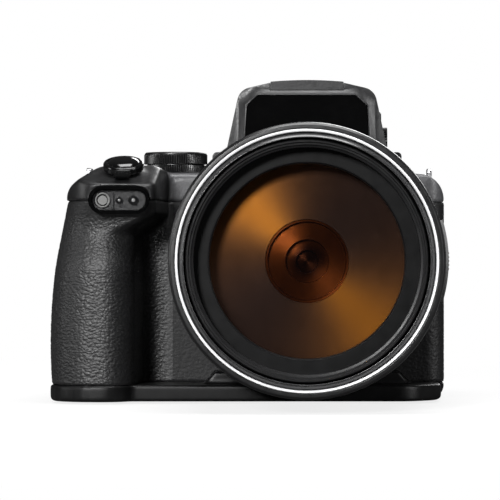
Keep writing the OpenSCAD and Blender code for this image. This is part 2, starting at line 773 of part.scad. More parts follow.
module name_panel() color("#0c0c0d") difference() {
    front_prism(panel_view(fit), -hump_front + panel_sink, -hump_front + panel_sink + panel_t);
    lens_cut(base_r + 2 * slide, body_front, hump_front + over);
}

// Inside the body

module chassis() color("#9a9ca0") {
    y0 = -body_front + lining + wall + fit;
    difference() {
        union() {
            block([chassis_x[0], y0, socket_top], [chassis_x[1], y0 + chassis_t, seam_z - 1]);
            block([-chassis_floor, y0, socket_top], [chassis_floor, split_y - 4, socket_top + chassis_t]);
        }
        lens_cut(chassis_hole, 0, body_front);
    }
}

module main_board() color("#1e5a34") union() {
    block([board_x[0], split_y - 1.7, cap_z + board_margin[0]],
        [board_x[1], split_y - fit, seam_z - board_margin[1]]);
    for (x = [-24, 2, 26]) block([x, split_y - 3.6, lens_z - 8], [x + 12, split_y - 1.7, lens_z + 4]);
    translate(capacitor_at) cylinder(h = 26, r = 5, $fn = 48);
}

module sensor_unit() color("#6a6c70") {
    y0 = 6;
    difference() {
        block([-17, y0, lens_z - 15], [17, y0 + 6, lens_z + 15]);
        block([-4, y0 - over, lens_z - 3], [4, y0 + 0.8, lens_z + 3]);
    }
}

module rear_lens_group() color("#1b1b1d") turned([[9, -6], [13, -6], [13, chassis_back - 2], [29,
    chassis_back - 2],
    [29, chassis_back], [13, chassis_back], [13, 44], [11, 44], [11, 38], [9, 38]]);

module zoom_motor() color("#8a8c90") translate([-33, -chassis_back, socket_top + 8.6])
    rotate([-90, 0, 0]) union() {
    cylinder(h = 22, r = 6);
    translate([0, 0, 22]) cylinder(h = 2, r = 2);
}

module port_block() color("#1a1a1c") difference() {
    x1 = body_right - lining - wall - fit;
    block([x1 - 7, -3, port_z0 + 1], [x1, 11, port_z1 - 1]);
    for (i = [0:2]) block([x1 - 5, 0.5, port_z0 + 5 + 9.4 * i], [x1 + over, 7, port_z0 + 11 + 9.4 * i]);
}

module battery_pack() color("#38383c") translate([battery_at.x, battery_at.y, foot_h + door_t]) union() {
    block([0, 0, 0.4], battery_size);
    for (i = [0:2]) translate([3, 4 + 4 * i, battery_size.z]) cube([battery_size.x - 8, 2, 0.4]);
}

// Viewfinder and shoe

module evf_unit() color("#18181a") difference() {
    block([-13, 20, deck_z + fit], [13, body_rear - wall - 0.5, deck_z + 22]);
    block([-9, 24, deck_z + 9], [9, hump_back, deck_z + 20]);
}

module eyepiece_lens() color("#3c4a55") intersection() {
    obround(0, eye_z, eye_w - 2 * fit, eye_h - 2 * fit, hump_back - wall - 5, hump_back - 0.4);
    translate([0, hump_back - 60.4, eye_z]) sphere(r = 60);
}

module eyecup() color("#1c1c1e") difference() {
    front_prism(rounded([[-21, deck_z + 2.6, 7], [-21, deck_z + 26.5, 8], [21, deck_z + 26.5, 8], [21,
        deck_z + 2.6, 7]]),
        hump_back, hump_back + eyecup_t);
    obround(0, eye_z, eye_w + 3, eye_h + 1, hump_back - over, hump_back + 4);
    front_prism(rounded([[-18.6, deck_z + 5, 5], [-18.6, deck_z + 24.1, 6], [18.6, deck_z + 24.1, 6],
        [18.6, deck_z + 5, 5]]),
        hump_back + 3, hump_back + eyecup_t + over);
}

module hot_shoe() color("#b9bbbe") {
    y0 = flash_axis_y + 5;
    y1 = y0 + 19;
    union() {
        block([-10.6, y0, shoe_z], [10.6, y1, shoe_z + 0.9]);
        for (s = [-1, 1]) {
            block([s * 10 - 0.6, y0, shoe_z], [s * 10 + 0.6, y1, shoe_z + 4.4]);
            block([s * 8.4 - 2.2, y0, shoe_z + 3.3], [s * 8.4 + 2.2, y1, shoe_z + 4.4]);
        }
        for (p = [[0, 9], [-3.5, 14], [3.5, 14]])
            translate([p.x, y0 + p.y, shoe_z]) cylinder(h = 1.15, r = 1.2, $fn = 32);
    }
}

// Lens, from the body forwards

module lens_base() color("#232326") difference() {
    union() {
        turned([[bore_r, base_w], [base_r - 0.6, base_w], [base_r, base_w + 0.6], [base_r,
            control_w - 0.8],
            [base_r - 0.8, control_w - 0.2], [neck_r, control_w - 0.2], [neck_r, control_end + 0.2],
                [bore_r, control_end + 0.2]]);
        // pad that carries the side lever
        on_lens() rotate([0, 0, -17]) rotate_extrude(angle = 34)
            polygon([[base_r - 1.8, base_w + 5], [pad_r, base_w + 7], [pad_r, control_w - 3],
                [base_r - 1.8, control_w - 1.2]]);
    }
    on_lens() rotate([0, 0, -lever_half - lever_swing - 1])
        rotate_extrude(angle = 2 * (lever_half + lever_swing + 1))
        polygon([[lever_floor_r, lever_w0 - slide], [pad_r + over, lever_w0 - slide],
            [pad_r + over, lever_w1 + slide], [lever_floor_r, lever_w1 + slide]]);
    on_base(snap_angle, snap_w) translate([0, 0, -3.6]) cylinder(h = 5, r = snap_r + slide);
}

module fixed_barrel() color("#1f1f22") turned([[bore_r, control_end + 0.2], [barrel_r,
    control_end + 0.2], [barrel_r, rim_front - 1.4],
    [barrel_r - 0.9, rim_front - 0.2], [trim_out + 0.1, rim_front], [trim_out + 0.1, trim_w0],
        [trim_in, trim_w0],
    [trim_in, trim_w0 - 2.6], [bore_r, trim_w0 - 2.6]]);

module trim_ring() color("#d9dbdd") turned([[trim_in, trim_w0], [trim_out, trim_w0], [trim_out,
    trim_front - 0.3],
    [trim_out - 0.3, trim_front], [trim_in + 0.2, trim_front - 0.3], [trim_in, trim_front - 0.6]]);

module lens_stage_1() color("#2c2c2f") turned([[tube_1_in, tube_1_back], [bore_r - slide, tube_1_back],
    [bore_r - slide, tube_1_back + 6], [tube_1_out, tube_1_back + 6],
    [tube_1_out, tube_1_front - tube_chamfer],
    [tube_1_out - tube_chamfer, tube_1_front], [tube_1_in, tube_1_front]]);

module lens_stage_2() color("#2a2a2d") turned([[tube_2_in, tube_2_back], [tube_2_out, tube_2_back],
    [tube_2_out, tube_2_front], [tube_2_in, tube_2_front]]);

module filter_ring() color("#17171a") turned([[cell_bore, filter_back], [tube_2_in - fit, filter_back],
    [tube_2_in - fit, tube_2_front + fit], [filter_r, tube_2_front + fit], [filter_r, filter_front - 0.5],
    [filter_r - 0.4, filter_front], [filter_r - 0.9, filter_front], [filter_r - 1, thread_w1 + 1.1],
    [thread_r + 0.8, thread_w1 + 1.1], [thread_r + 0.8, thread_w1], [thread_r, thread_w1],
    [thread_r, thread_w0], [cell_bore, thread_w0]]);

module front_retainer() color("#0f0f11") turned([[glass_r, glass_w], [glass_r, retain_w - 0.5],
    [glass_r + 0.5, retain_w], [cell_bore - fit, retain_w], [cell_bore - fit, glass_w - glass_t - 1],
    [glass_rim + fit, glass_w - glass_t - 1], [glass_rim + fit, glass_w]]);

module front_element() color("#8a6a3a") on_lens() union() {
    translate([0, 0, glass_w - glass_t]) cylinder(h = glass_t, r = glass_rim);
    intersection() {
        translate([0, 0, glass_w - 1]) cylinder(h = 10, r = glass_r - fit);
        translate([0, 0, glass_w + dome_h - dome_r]) sphere(r = dome_r, $fn = dome_facets);
    }
}

module coated_element() color("#9a6a24") turned([[cell_r, dish_w - 6], [thread_r - 1.2, dish_w - 6],
    [thread_r - 1.2, dish_w - 2], [cell_bore - fit, dish_w - 2], [cell_bore - fit, dish_w],
    [glass_r + 1.2, dish_w], [glass_r + 0.4, dish_w - 0.3], [cell_r, dish_w + cell_crown]]);

module inner_cell() color("#3a1e10") {
    rim = cell_r - fit;
    turned([[0, dish_w - 26], [rim, dish_w - 26], [rim, dish_w + cell_crown - 0.6],
        [rim - 0.8, dish_w + cell_crown - 0.6], [rim - 1.2, dish_w - 1.2], [rim - 2.6, dish_w - 2],
        [cell_eye, dish_w - 3.6], [cell_eye - 0.6, dish_w - 5],
        [cell_eye / 2, dish_w - 6], [0, dish_w - 5.4]]);
}

module control_ring() color("#1b1b1d") on_lens() translate([0, 0, control_w + 0.2]) difference() {
    knurled(control_out, control_l - 0.4, control_ribs, 0.7);
    translate([0, 0, -over]) cylinder(h = control_l + 2 * over, r = control_in);
}

module side_zoom_lever() color("#2f2f33") on_lens() union() {
    rotate([0, 0, -lever_half]) rotate_extrude(angle = 2 * lever_half)
        polygon([[lever_floor_r + slide, lever_w0], [pad_r - 0.3, lever_w0], [pad_r - 0.3, lever_w1],
            [lever_floor_r + slide, lever_w1]]);
    for (i = [-2:2]) rotate([0, 0, 1.6 * i]) translate([pad_r - 0.8, -0.35, lever_w0 + 2])
        cube([1.2, 0.7, lever_w1 - lever_w0 - 4]);
}

module snap_back_button() color("#2b2b2e") on_base(snap_angle, snap_w)
    rotate_extrude() polygon([[0, -2.6], [snap_r, -2.6], [snap_r, 0.4], [snap_r - 0.4, 0.8], [0, 0.9]]);

// Top controls

module shutter_button() color("#0b0b0c") on_seat() rotate_extrude() {
    under = lever_floor + shutter_travel + slide;
    crown = [for (k = [0:crown_steps]) let (t = 1 - k / crown_steps)
        [shutter_r * t, lever_h + shutter_crown * (1 - pow(t, 4))]];
    polygon(concat([[0, -8], [stem_r, -8], [stem_r, under], [shutter_r, under]], crown));
}

module zoom_lever() color("#141416") on_seat() difference() {
    union() {
        rotate_extrude() polygon(rounded([[0, slide, 0], [zoom_r, slide, 0.8], [zoom_r, lever_h, 0.9],
            [0, lever_h, 0]]));
        translate([0, 0, -4]) cylinder(h = 4.4, r = hub_r);
        translate([-2.9, -zoom_r - 1.8, 0.4]) cube([5.8, 4, lever_h - 0.9]);
        for (i = [-2:2]) translate([1.1 * i - 0.25, -zoom_r - 2.3, 0.4]) cube([0.5, 1, lever_h - 1.1]);
    }
    translate([0, 0, lever_floor]) cylinder(h = lever_h, r = shutter_r + slide);
    translate([0, 0, -5]) cylinder(h = 10, r = stem_r + slide);
}

module mode_dial() color("#1a1a1c") translate([dial_x, dial_y, deck_z]) union() {
    translate([0, 0, dial_gap]) knurled(dial_r - 0.5, dial_tier - dial_gap, dial_ribs, 0.4);
    translate([0, 0, dial_tier - over]) cylinder(h = 1.2, r = dial_r - 1.2);
    translate([0, 0, dial_tier + 0.5]) knurled(dial_r, dial_upper - dial_cap, dial_ribs, 0.4);
    translate([0, 0, dial_tier + dial_upper + 0.5 - dial_cap]) rotate_extrude()
        polygon([[0, -over], [dial_r - 0.2, -over], [dial_r - 0.2, dial_cap - 0.5], [dial_r - 0.7, dial_cap],
            [dial_r - 1.6, dial_cap], [dial_r - 2.1, dial_cap - 0.3], [0, dial_cap - 0.3]]);
    translate([0, 0, -top_wall]) cylinder(h = top_wall + 1, r = dial_shaft);
}

module command_dial() color("#1a1a1c") translate([command_x, command_y, command_z]) union() {
    knurled(command_r, command_t, 36, 0.5);
    translate([0, 0, -1.8]) cylinder(h = command_t + 3.6, r = 1.5);
}

module power_button() color("#1d1d20") on_top(power_at, head_z) push_button(power_r, top_wall, 0.8);
module fn_button() color("#1d1d20") on_top(fn_at, head_z) push_button(fn_r, top_wall, 0.8);

// Flash

module flash_head() color("#3a3a3d") union() {
    front_prism(rounded([[-flash_half, flash_floor, 0], [-flash_half, roof_z, flash_round],
        [0, roof_z + flash_crown, flash_crown_r], [flash_half, roof_z, flash_round],
        [flash_half, flash_floor, 0]]),
        -hump_front + slope_depth, flash_axis_y - 4);
    translate([-flash_half + 0.6, flash_axis_y, flash_axis_z]) rotate([0, 90, 0])
        cylinder(h = 2 * flash_half - 1.2, r = flash_barrel);
    side_prism([[flash_axis_y - 5, flash_floor], [flash_axis_y - 5, roof_z - 0.4], [flash_axis_y,
        flash_axis_z + flash_barrel - 0.05],
        [flash_axis_y, flash_axis_z - 1.9]], -flash_half + 0.6, flash_half - 0.6);
    translate([-flash_half - 3, flash_axis_y, flash_axis_z]) rotate([0, 90, 0])
        cylinder(h = 2 * flash_half + 6, r = flash_pin, $fn = 32);
    block([-10.4, -37, flash_block_z], [10.4, -22, flash_floor + over]);
}

module flash_window() color("#e8ecee") block([-10, -38.2, flash_block_z + 0.4], [10, -37,
    flash_floor - 0.3]);

module flash_button() color("#2b2b2e") on_left(flash_key_x, flash_key_y, flash_key_z)
    push_button(key_r, flash_key_wall, 0.5);

module diopter_dial() color("#1c1c1e") on_left(diopter_x, diopter_y, diopter_z) union() {
    knurled(diopter_r, 3.4, 30, 0.4);
    translate([0, 0, -3.6]) cylinder(h = 4, r = diopter_shaft, $fn = 32);
}

// Monitor

module monitor_arm() color("#2a2a2d") union() {
    translate([hinge_x, hinge_y, arm_z0]) cylinder(h = arm_z1 - arm_z0, r = hinge_r - 0.2);
    translate([hinge_x, hinge_y, arm_z0 - 3.6]) cylinder(h = arm_z1 - arm_z0 + 7.2,
        r = hinge_pin, $fn = 48);
    block([monitor_right - 6, hinge_y - 1.2, arm_z0], [hinge_x, hinge_y + 1.2, arm_z1]);
}

module monitor_case() color("#242427") difference() {
    front_prism(rounded([[monitor_right - monitor_w, monitor_z0, 2.5], [monitor_right - monitor_w,
        monitor_z0 + monitor_h, 2.5],
        [monitor_right, monitor_z0 + monitor_h, 1.5], [monitor_right, monitor_z0, 1.5]]), monitor_y0,
            body_rear);
    block([monitor_right - monitor_w + 5, body_rear - 1, monitor_z0 + 4], [monitor_right - 7,
        body_rear + over, monitor_z0 + monitor_h - 4]);
    block([monitor_right - 6 - fit, hinge_y - 1.2 - fit, arm_z0 - fit], [monitor_right + over,
        hinge_y + 1.2 + fit, arm_z1 + fit]);
}

module monitor_screen() color("#101418")
    block([monitor_right - monitor_w + 5 + fit, body_rear - 1, monitor_z0 + 4 + fit],
        [monitor_right - 7 - fit, body_rear - 0.1, monitor_z0 + monitor_h - 4 - fit]);

// Doors

module battery_door() color("#2a2a2d") union() {
    block([door_x0, door_y0, foot_h], [door_axis_x - door_knuckle - 0.2, door_y1, foot_h + door_t]);
    translate([door_axis_x, door_y0, door_axis_z]) rotate([-90, 0, 0])
        cylinder(h = door_y1 - door_y0, r = door_knuckle, $fn = 48);
    block([door_axis_x - door_knuckle - 0.8, door_y0, door_axis_z - 0.6], [door_axis_x, door_y1,
        door_axis_z + 0.6]);
    translate([door_axis_x, door_y0 - 3.5, door_axis_z]) rotate([-90, 0, 0])
        cylinder(h = door_y1 - door_y0 + 7, r = door_pin, $fn = 32);
    block([-75, -43, 0.3], [-73, -39, foot_h]);
}

module port_cover() color("#2c2c2f") union() {
    block([body_right - port_t, port_near, port_z0], [body_right, port_y1, port_z1]);
    translate([port_axis_x, port_axis_y, port_z0 + 3])
        cylinder(h = port_z1 - port_z0 - 6, r = port_knuckle, $fn = 48);
    block([port_axis_x - 0.3, port_axis_y, port_z0 + 3], [port_axis_x + 0.5, port_near + 0.4,
        port_z1 - 3]);
    translate([port_axis_x, port_axis_y, port_z0 + 0.4])
        cylinder(h = port_z1 - port_z0 - 0.8, r = port_pin, $fn = 32);
}

// Rear controls

module selector_ring() color("#1d1d20") on_rear(selector_at) difference() {
    union() {
        translate([0, 0, -rear_wall - key_stop - key_flange])
            cylinder(h = key_flange, r = selector_r + key_flange);
        translate([0, 0, -rear_wall - key_stop - over])
            cylinder(h = rear_wall + key_stop + over + selector_t, r = selector_r);
    }
    translate([0, 0, -6]) cylinder(h = 12, r = ok_r + slide);
}

module ok_button() color("#232326") on_rear(selector_at)
    push_button(ok_r, rear_wall + key_stop + key_flange, 1.2);

module rear_key(at) on_rear(at) push_button(key_r, rear_wall, key_proud);
module menu_button() color("#232326") rear_key(menu_at);
module delete_button() color("#232326") rear_key(delete_at);
module play_button() color("#232326") rear_key(play_at);
module record_button() color("#3a2022") rear_key(record_at);

// Small fittings

module strap_lugs() color("#b4b6ba") for (p = lug_places) translate(p) difference() {
    side_prism(rounded([[-lug_l / 2, -lug_foot, 0], [-lug_l / 2, lug_slot + lug_bar, 1.6],
        [lug_l / 2, lug_slot + lug_bar, 1.6], [lug_l / 2, -lug_foot, 0]]), -lug_t / 2, lug_t / 2);
    side_prism(rounded([[-lug_l / 2 + lug_bar, 0, 0.9], [-lug_l / 2 + lug_bar, lug_slot, 0.9],
        [lug_l / 2 - lug_bar, lug_slot, 0.9], [lug_l / 2 - lug_bar, 0, 0.9]]), -lug_t, lug_t);
}

module lamp_bezel() color("#111113") {
    difference() {
        obround(lamp_x, seam_z, lamp_w, lamp_h, -lamp_face, -grip_front + lamp_deep);
        obround(lamp_x, seam_z, lamp_w - 2 * lamp_rim, lamp_h - 2 * lamp_rim,
            -lamp_face - over, -grip_front + lamp_deep - 1);
    }
    // the three lamps stand on the floor of the bezel: [offset, radius]
    for (p = lamp_spots)
        translate([lamp_x + p.x, -grip_front + lamp_deep - 1 + over, seam_z]) rotate([90, 0, 0])
            cylinder(h = 1.5 + over, r = p.y, $fn = 48);
}

module lamp_window() color("#5a5e62")
    obround(lamp_x, seam_z, lamp_w - 2 * lamp_rim - 2 * fit, lamp_h - 2 * lamp_rim - 2 * fit,
        -lamp_face + 0.5, -lamp_face + 1.4);

module tripod_socket() color("#8f9196") difference() {
    cylinder(h = socket_top, r = socket_r);
    translate([0, 0, -over]) cylinder(h = socket_l + over, r = socket_bore);
}

module case_screws() color("#5c5e62") for (p = screw_places) translate([p.x, p.y, foot_h + 0.3])
    difference() {
    union() {
        cylinder(h = 1, r = screw_head_r, $fn = 32);
        cylinder(h = cap_z - foot_h - 1.4, r = screw_r, $fn = 32);
    }
    for (a = [0, 90]) rotate([0, 0, a]) translate([-1, -0.2, -0.1]) cube([2, 0.4, 0.6]);
}

front_shell();
grip_shell();
rear_shell();
top_cover();
hump_cover();
bottom_plate();
grip_rubber();
leather_panels();
thumb_rest();
name_panel();
chassis();
main_board();
sensor_unit();
rear_lens_group();
zoom_motor();
port_block();
battery_pack();
evf_unit();
eyepiece_lens();
eyecup();
hot_shoe();
lens_base();
fixed_barrel();
trim_ring();
strap_lugs();
lamp_bezel();
lamp_window();
tripod_socket();
case_screws();
lens_stage_1();
lens_stage_2();
filter_ring();
front_retainer();
front_element();
coated_element();
inner_cell();
control_ring();
side_zoom_lever();
snap_back_button();
shutter_button();
zoom_lever();
mode_dial();
command_dial();
power_button();
fn_button();
flash_head();
flash_window();
flash_button();
diopter_dial();
monitor_arm();
monitor_case();
monitor_screen();
battery_door();
port_cover();
selector_ring();
ok_button();
menu_button();
delete_button();
play_button();
record_button();
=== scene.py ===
"""Looks of the bridge camera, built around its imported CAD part. Metres, in the CAD's own frame."""
import json
import math

import bpy
import numpy as np
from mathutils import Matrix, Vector, noise

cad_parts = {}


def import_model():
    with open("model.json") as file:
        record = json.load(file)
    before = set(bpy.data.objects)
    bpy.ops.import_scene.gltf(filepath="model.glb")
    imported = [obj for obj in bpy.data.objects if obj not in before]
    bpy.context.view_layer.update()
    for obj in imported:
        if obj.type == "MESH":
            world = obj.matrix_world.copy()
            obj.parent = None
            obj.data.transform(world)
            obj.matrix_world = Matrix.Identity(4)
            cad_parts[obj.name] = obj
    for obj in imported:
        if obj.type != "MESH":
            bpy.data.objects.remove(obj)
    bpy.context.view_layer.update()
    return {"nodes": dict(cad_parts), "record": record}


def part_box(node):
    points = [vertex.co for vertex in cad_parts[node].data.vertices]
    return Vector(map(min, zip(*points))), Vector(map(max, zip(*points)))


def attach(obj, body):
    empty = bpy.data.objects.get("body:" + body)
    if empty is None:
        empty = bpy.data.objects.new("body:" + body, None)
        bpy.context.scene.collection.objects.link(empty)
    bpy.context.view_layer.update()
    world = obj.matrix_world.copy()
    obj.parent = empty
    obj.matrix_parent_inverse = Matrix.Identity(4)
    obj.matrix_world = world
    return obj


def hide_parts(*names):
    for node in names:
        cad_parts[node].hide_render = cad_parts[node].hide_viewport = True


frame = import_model()
nodes = frame["nodes"]
slot_of = {s["node"]: s["material_slot"] for s in frame["record"]["subparts"]}

MM = 0.001


def box_mm(node):
    low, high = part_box(node)
    return low / MM, high / MM


# Places read from the frame, in mm. A name that ends in _W is a station forward along the lens axis.
LENS_Z = sum(v.z for v in box_mm("trim_ring")) / 2
CAP_Z, SEAM_Z = (v.z for v in box_mm("front_shell"))
GRIP_LOW = box_mm("grip_rubber")[0]
BODY_RIGHT = box_mm("leather_panels")[1].x
BODY_FRONT = -box_mm("leather_panels")[0].y
SPLIT_Y = box_mm("grip_rubber")[1].y
TUBE_W, TRIM_W, RIM_W, CROWN_W = (
    -box_mm(n)[0].y for n in ("lens_stage_1", "trim_ring", "fixed_barrel", "coated_element"))

CELL_CROWN = 0.7        # rise of the coated lens from its rim to its middle
DISH_W = CROWN_W - CELL_CROWN
BASE_R = 50.1           # round opening for the lens base in the grip skin and the leather
HEAD_EDGE_X = -51.9     # where the deck's paint ends at the head of the grip
SKIN_T = 1.4            # grip skin and leather
GRIP_GRAIN, SIDE_GRAIN, FINE_GRAIN = 0.19, 0.13, 0.05   # depths of the moulded grain
PAINTED_SHEEN_DIRECTION = (-0.707, 0, 0.707)      # direction of the painted sheen on the lens coating, the key light's diagonal
ON_AXIS = 1e-6          # a turned profile closes to a tip this near its axis
WELD = 1e-6             # metres


# Materials

class Mat:
    """A Principled material whose constant values sit on the shader's own sockets."""

    def __init__(self, name, **values):
        self.material = bpy.data.materials.new(name)
        self.material.use_nodes = True
        self.tree = self.material.node_tree
        self.bsdf = self.tree.nodes["Principled BSDF"]
        for key, value in values.items():
            self.bsdf.inputs[key.replace("_", " ")].default_value = value
        self.normal = None
        self.coords = self.node("ShaderNodeTexCoord").outputs["Object"]

    def node(self, kind, inputs=None, **props):
        made = self.tree.nodes.new(kind)
        for key, value in props.items():
            setattr(made, key, value)
        for key, value in (inputs or {}).items():
            if isinstance(value, bpy.types.NodeSocket):
                self.tree.links.new(value, made.inputs[key])
            else:
                made.inputs[key].default_value = value
        return made

    def stretch(self, scale):
        return self.node("ShaderNodeMapping", {"Vector": self.coords, "Scale": scale}).outputs["Vector"]

    def noise(self, scale, detail=3.0, rough=0.5, coords=None):
        made = self.node("ShaderNodeTexNoise", {"Vector": coords or self.coords, "Scale": scale,
                                                "Detail": detail, "Roughness": rough})
        return made.outputs["Fac"]

    def cells(self, scale, feature="F1"):
        return self.node("ShaderNodeTexVoronoi", {"Vector": self.coords, "Scale": scale},
                         feature=feature).outputs["Distance"]

    def ramp(self, fac, low, high, out_low=0.0, out_high=1.0):
        made = self.node("ShaderNodeMapRange", {"Value": fac, "From Min": low, "From Max": high,
                                                "To Min": out_low, "To Max": out_high})
        return made.outputs["Result"]

    def math(self, operation, a, b):
        return self.node("ShaderNodeMath", {0: a, 1: b}, operation=operation).outputs[0]

    def mix(self, fac, a, b, kind="RGBA"):
        made = self.node("ShaderNodeMix", data_type=kind)
        index = {"FLOAT": (0, 2, 3), "RGBA": (0, 6, 7)}[kind]
        for i, value in zip(index, (fac, a, b)):
            if isinstance(value, bpy.types.NodeSocket):
                self.tree.links.new(value, made.inputs[i])
            else:
                made.inputs[i].default_value = (*value, 1) if isinstance(value, tuple) else value
        return made.outputs[{"FLOAT": 0, "RGBA": 2}[kind]]

    def tones(self, base, spread):
        return tuple(c * (1 - spread) for c in base), tuple(min(1.0, c * (1 + spread)) for c in base)

    def colour(self, fac, a, b):
        """Base colour that wanders from a to b."""
        self.tree.links.new(self.mix(fac, a, b), self.bsdf.inputs["Base Color"])

    def roughness(self, fac, low, high):
        self.tree.links.new(self.ramp(fac, 0.3, 0.7, low, high), self.bsdf.inputs["Roughness"])

    def bump(self, fac, depth_mm, strength=1.0):
        """Adds a bump of that depth on top of earlier ones."""
        inputs = {"Height": fac, "Distance": depth_mm * MM, "Strength": strength}
        if self.normal is not None:
            inputs["Normal"] = self.normal
        self.normal = self.node("ShaderNodeBump", inputs).outputs["Normal"]
        self.tree.links.new(self.normal, self.bsdf.inputs["Normal"])


def moulded(name, base, low, high, spec=0.5, grain=0.35, depth=0.02, spread=0.25):
    """Moulded plastic or rubber: fine spark-eroded grain, slight patchiness of tone and gloss."""
    m = Mat(name, Specular_IOR_Level=spec)
    m.colour(m.noise(90.0, 4.0, 0.55), *m.tones(base, spread))
    m.roughness(m.noise(260.0, 3.0), low, high)
    m.bump(m.noise(1000.0 / grain, 2.0, 0.6), depth)
    return m


def leather(name, base, low, high, spec, depth):
    """Fine pores between the moulded creases of the skin, with worn, smoother high spots."""
    m = Mat(name, Specular_IOR_Level=spec)
    soft = m.noise(900.0, 4.0, 0.62)
    m.colour(m.noise(150.0, 4.0), *m.tones(base, 0.22))
    m.roughness(soft, low, high)
    m.bump(soft, depth)
    m.bump(m.cells(2600.0), depth * 0.4)
    return m


def flakes(m):
    """Hard-edged little flakes, as on crackle paint."""
    warp = m.noise(800.0, 3.0, 0.6)
    return m.mix(0.45, m.cells(1500.0, "SMOOTH_F1"), warp, "FLOAT"), warp


def paint(name, base, low, high, depth):
    """Crackle paint: small flakes under a satin top coat."""
    m = Mat(name, Specular_IOR_Level=0.5)
    height, warp = flakes(m)
    m.colour(warp, *m.tones(base, 0.3))
    m.roughness(m.noise(400.0, 3.0), low, high)
    m.bump(height, depth)
    return m


def deck_finish(name, black, pale, edge_x, edge_y):
    """Crackle paint on the deck, satin black on the head of the grip beyond the two edges (mm)."""
    m = Mat(name, Specular_IOR_Level=0.5)
    at = m.node("ShaderNodeSeparateXYZ", {0: m.coords})
    deck = m.math("MULTIPLY", m.math("GREATER_THAN", at.outputs["X"], edge_x * MM),
                  m.math("GREATER_THAN", at.outputs["Y"], edge_y * MM))
    height, warp = flakes(m)
    m.tree.links.new(m.mix(deck, m.mix(warp, *m.tones(black, 0.25)), m.mix(warp, *m.tones(pale, 0.45))),
                     m.bsdf.inputs["Base Color"])
    m.roughness(m.noise(300.0, 3.0), 0.30, 0.44)
    m.bump(m.math("MULTIPLY", height, deck), 0.09)
    m.bump(m.noise(2600.0, 2.0), 0.006)
    return m


def polished(name, base, low, high, spec=0.5, coat=0.0):
    """Polished plastic: a trace of orange peel and of handling marks in its gloss."""
    m = Mat(name, Specular_IOR_Level=spec, Coat_Weight=coat, Coat_Roughness=0.04)
    m.colour(m.noise(60.0, 3.0), *m.tones(base, 0.2))
    m.roughness(m.noise(180.0, 5.0, 0.65), low, high)
    m.bump(m.noise(420.0, 2.0), 0.004)
    return m


def metal(name, base, low, high, stretch=(1, 1, 1), metallic=1.0):
    """Metal with fine drawn lines along the unstretched axis."""
    m = Mat(name, Metallic=metallic)
    lines = m.noise(900.0, 4.0, 0.7, m.stretch(stretch))
    m.colour(m.noise(120.0, 3.0), *m.tones(base, 0.07))
    m.roughness(lines, low, high)
    m.bump(lines, 0.003)
    return m


def coating(name, sheen_or_lit_colour, off_sheen_or_shade_colour, low, high, aniso, shade_core=None):
    """Coated lens surface: concentric polish marks draw the light out into two opposite lobes. Its colour is
    painted light: a painted sheen along the painted sheen direction, the off-sheen colour between the lobes or,
    with a shade core, a painted shade inside that radius (mm)."""
    m = Mat(name, Metallic=0.95, Anisotropic=aniso, Anisotropic_Rotation=0.25, Specular_IOR_Level=0.2)
    m.tree.links.new(m.node("ShaderNodeTangent", direction_type="RADIAL", axis="Y").outputs["Tangent"],
                     m.bsdf.inputs["Tangent"])
    off_axis = m.node("ShaderNodeVectorMath", {0: m.coords, 1: (1, 0, 1), 2: (0, 0, -LENS_Z * MM)},
                      operation="MULTIPLY_ADD").outputs[0]
    if shade_core:
        radius = m.node("ShaderNodeVectorMath", {0: off_axis}, operation="LENGTH").outputs["Value"]
        painted_light_share = m.ramp(radius, 0.5 * shade_core * MM, shade_core * MM)
    else:
        unit = m.node("ShaderNodeVectorMath", {0: off_axis}, operation="NORMALIZE").outputs[0]
        along = m.node("ShaderNodeVectorMath", {0: unit, 1: PAINTED_SHEEN_DIRECTION}, operation="DOT_PRODUCT").outputs["Value"]
        painted_light_share = m.math("MULTIPLY", along, along)
    # colour: painted sheen along the key light's diagonal, or painted shade inside the shade core
    m.colour(painted_light_share, off_sheen_or_shade_colour, sheen_or_lit_colour)
    m.roughness(m.noise(300.0, 3.0), low, high)
    return m


def glass(name, base, alpha, rough, spec):
    """Clear or smoked glass that lets most of the light straight through."""
    m = Mat(name, Alpha=alpha, Specular_IOR_Level=spec)
    m.colour(m.noise(40.0, 2.0), *m.tones(base, 0.1))
    m.roughness(m.noise(200.0, 3.0), rough * 0.7, rough * 1.3)
    return m


def board(name):
    """Green solder mask with paler copper runs under it."""
    m = Mat(name, Specular_IOR_Level=0.5)
    runs = m.node("ShaderNodeTexBrick", {"Vector": m.coords, "Scale": 160.0})
    m.colour(runs.outputs["Fac"], (0.012, 0.075, 0.03), (0.03, 0.16, 0.07))
    m.roughness(m.noise(200.0, 3.0), 0.3, 0.45)
    m.bump(runs.outputs["Fac"], 0.02)
    return m


def grey(level, blue=1.05):
    return level, level, level * blue


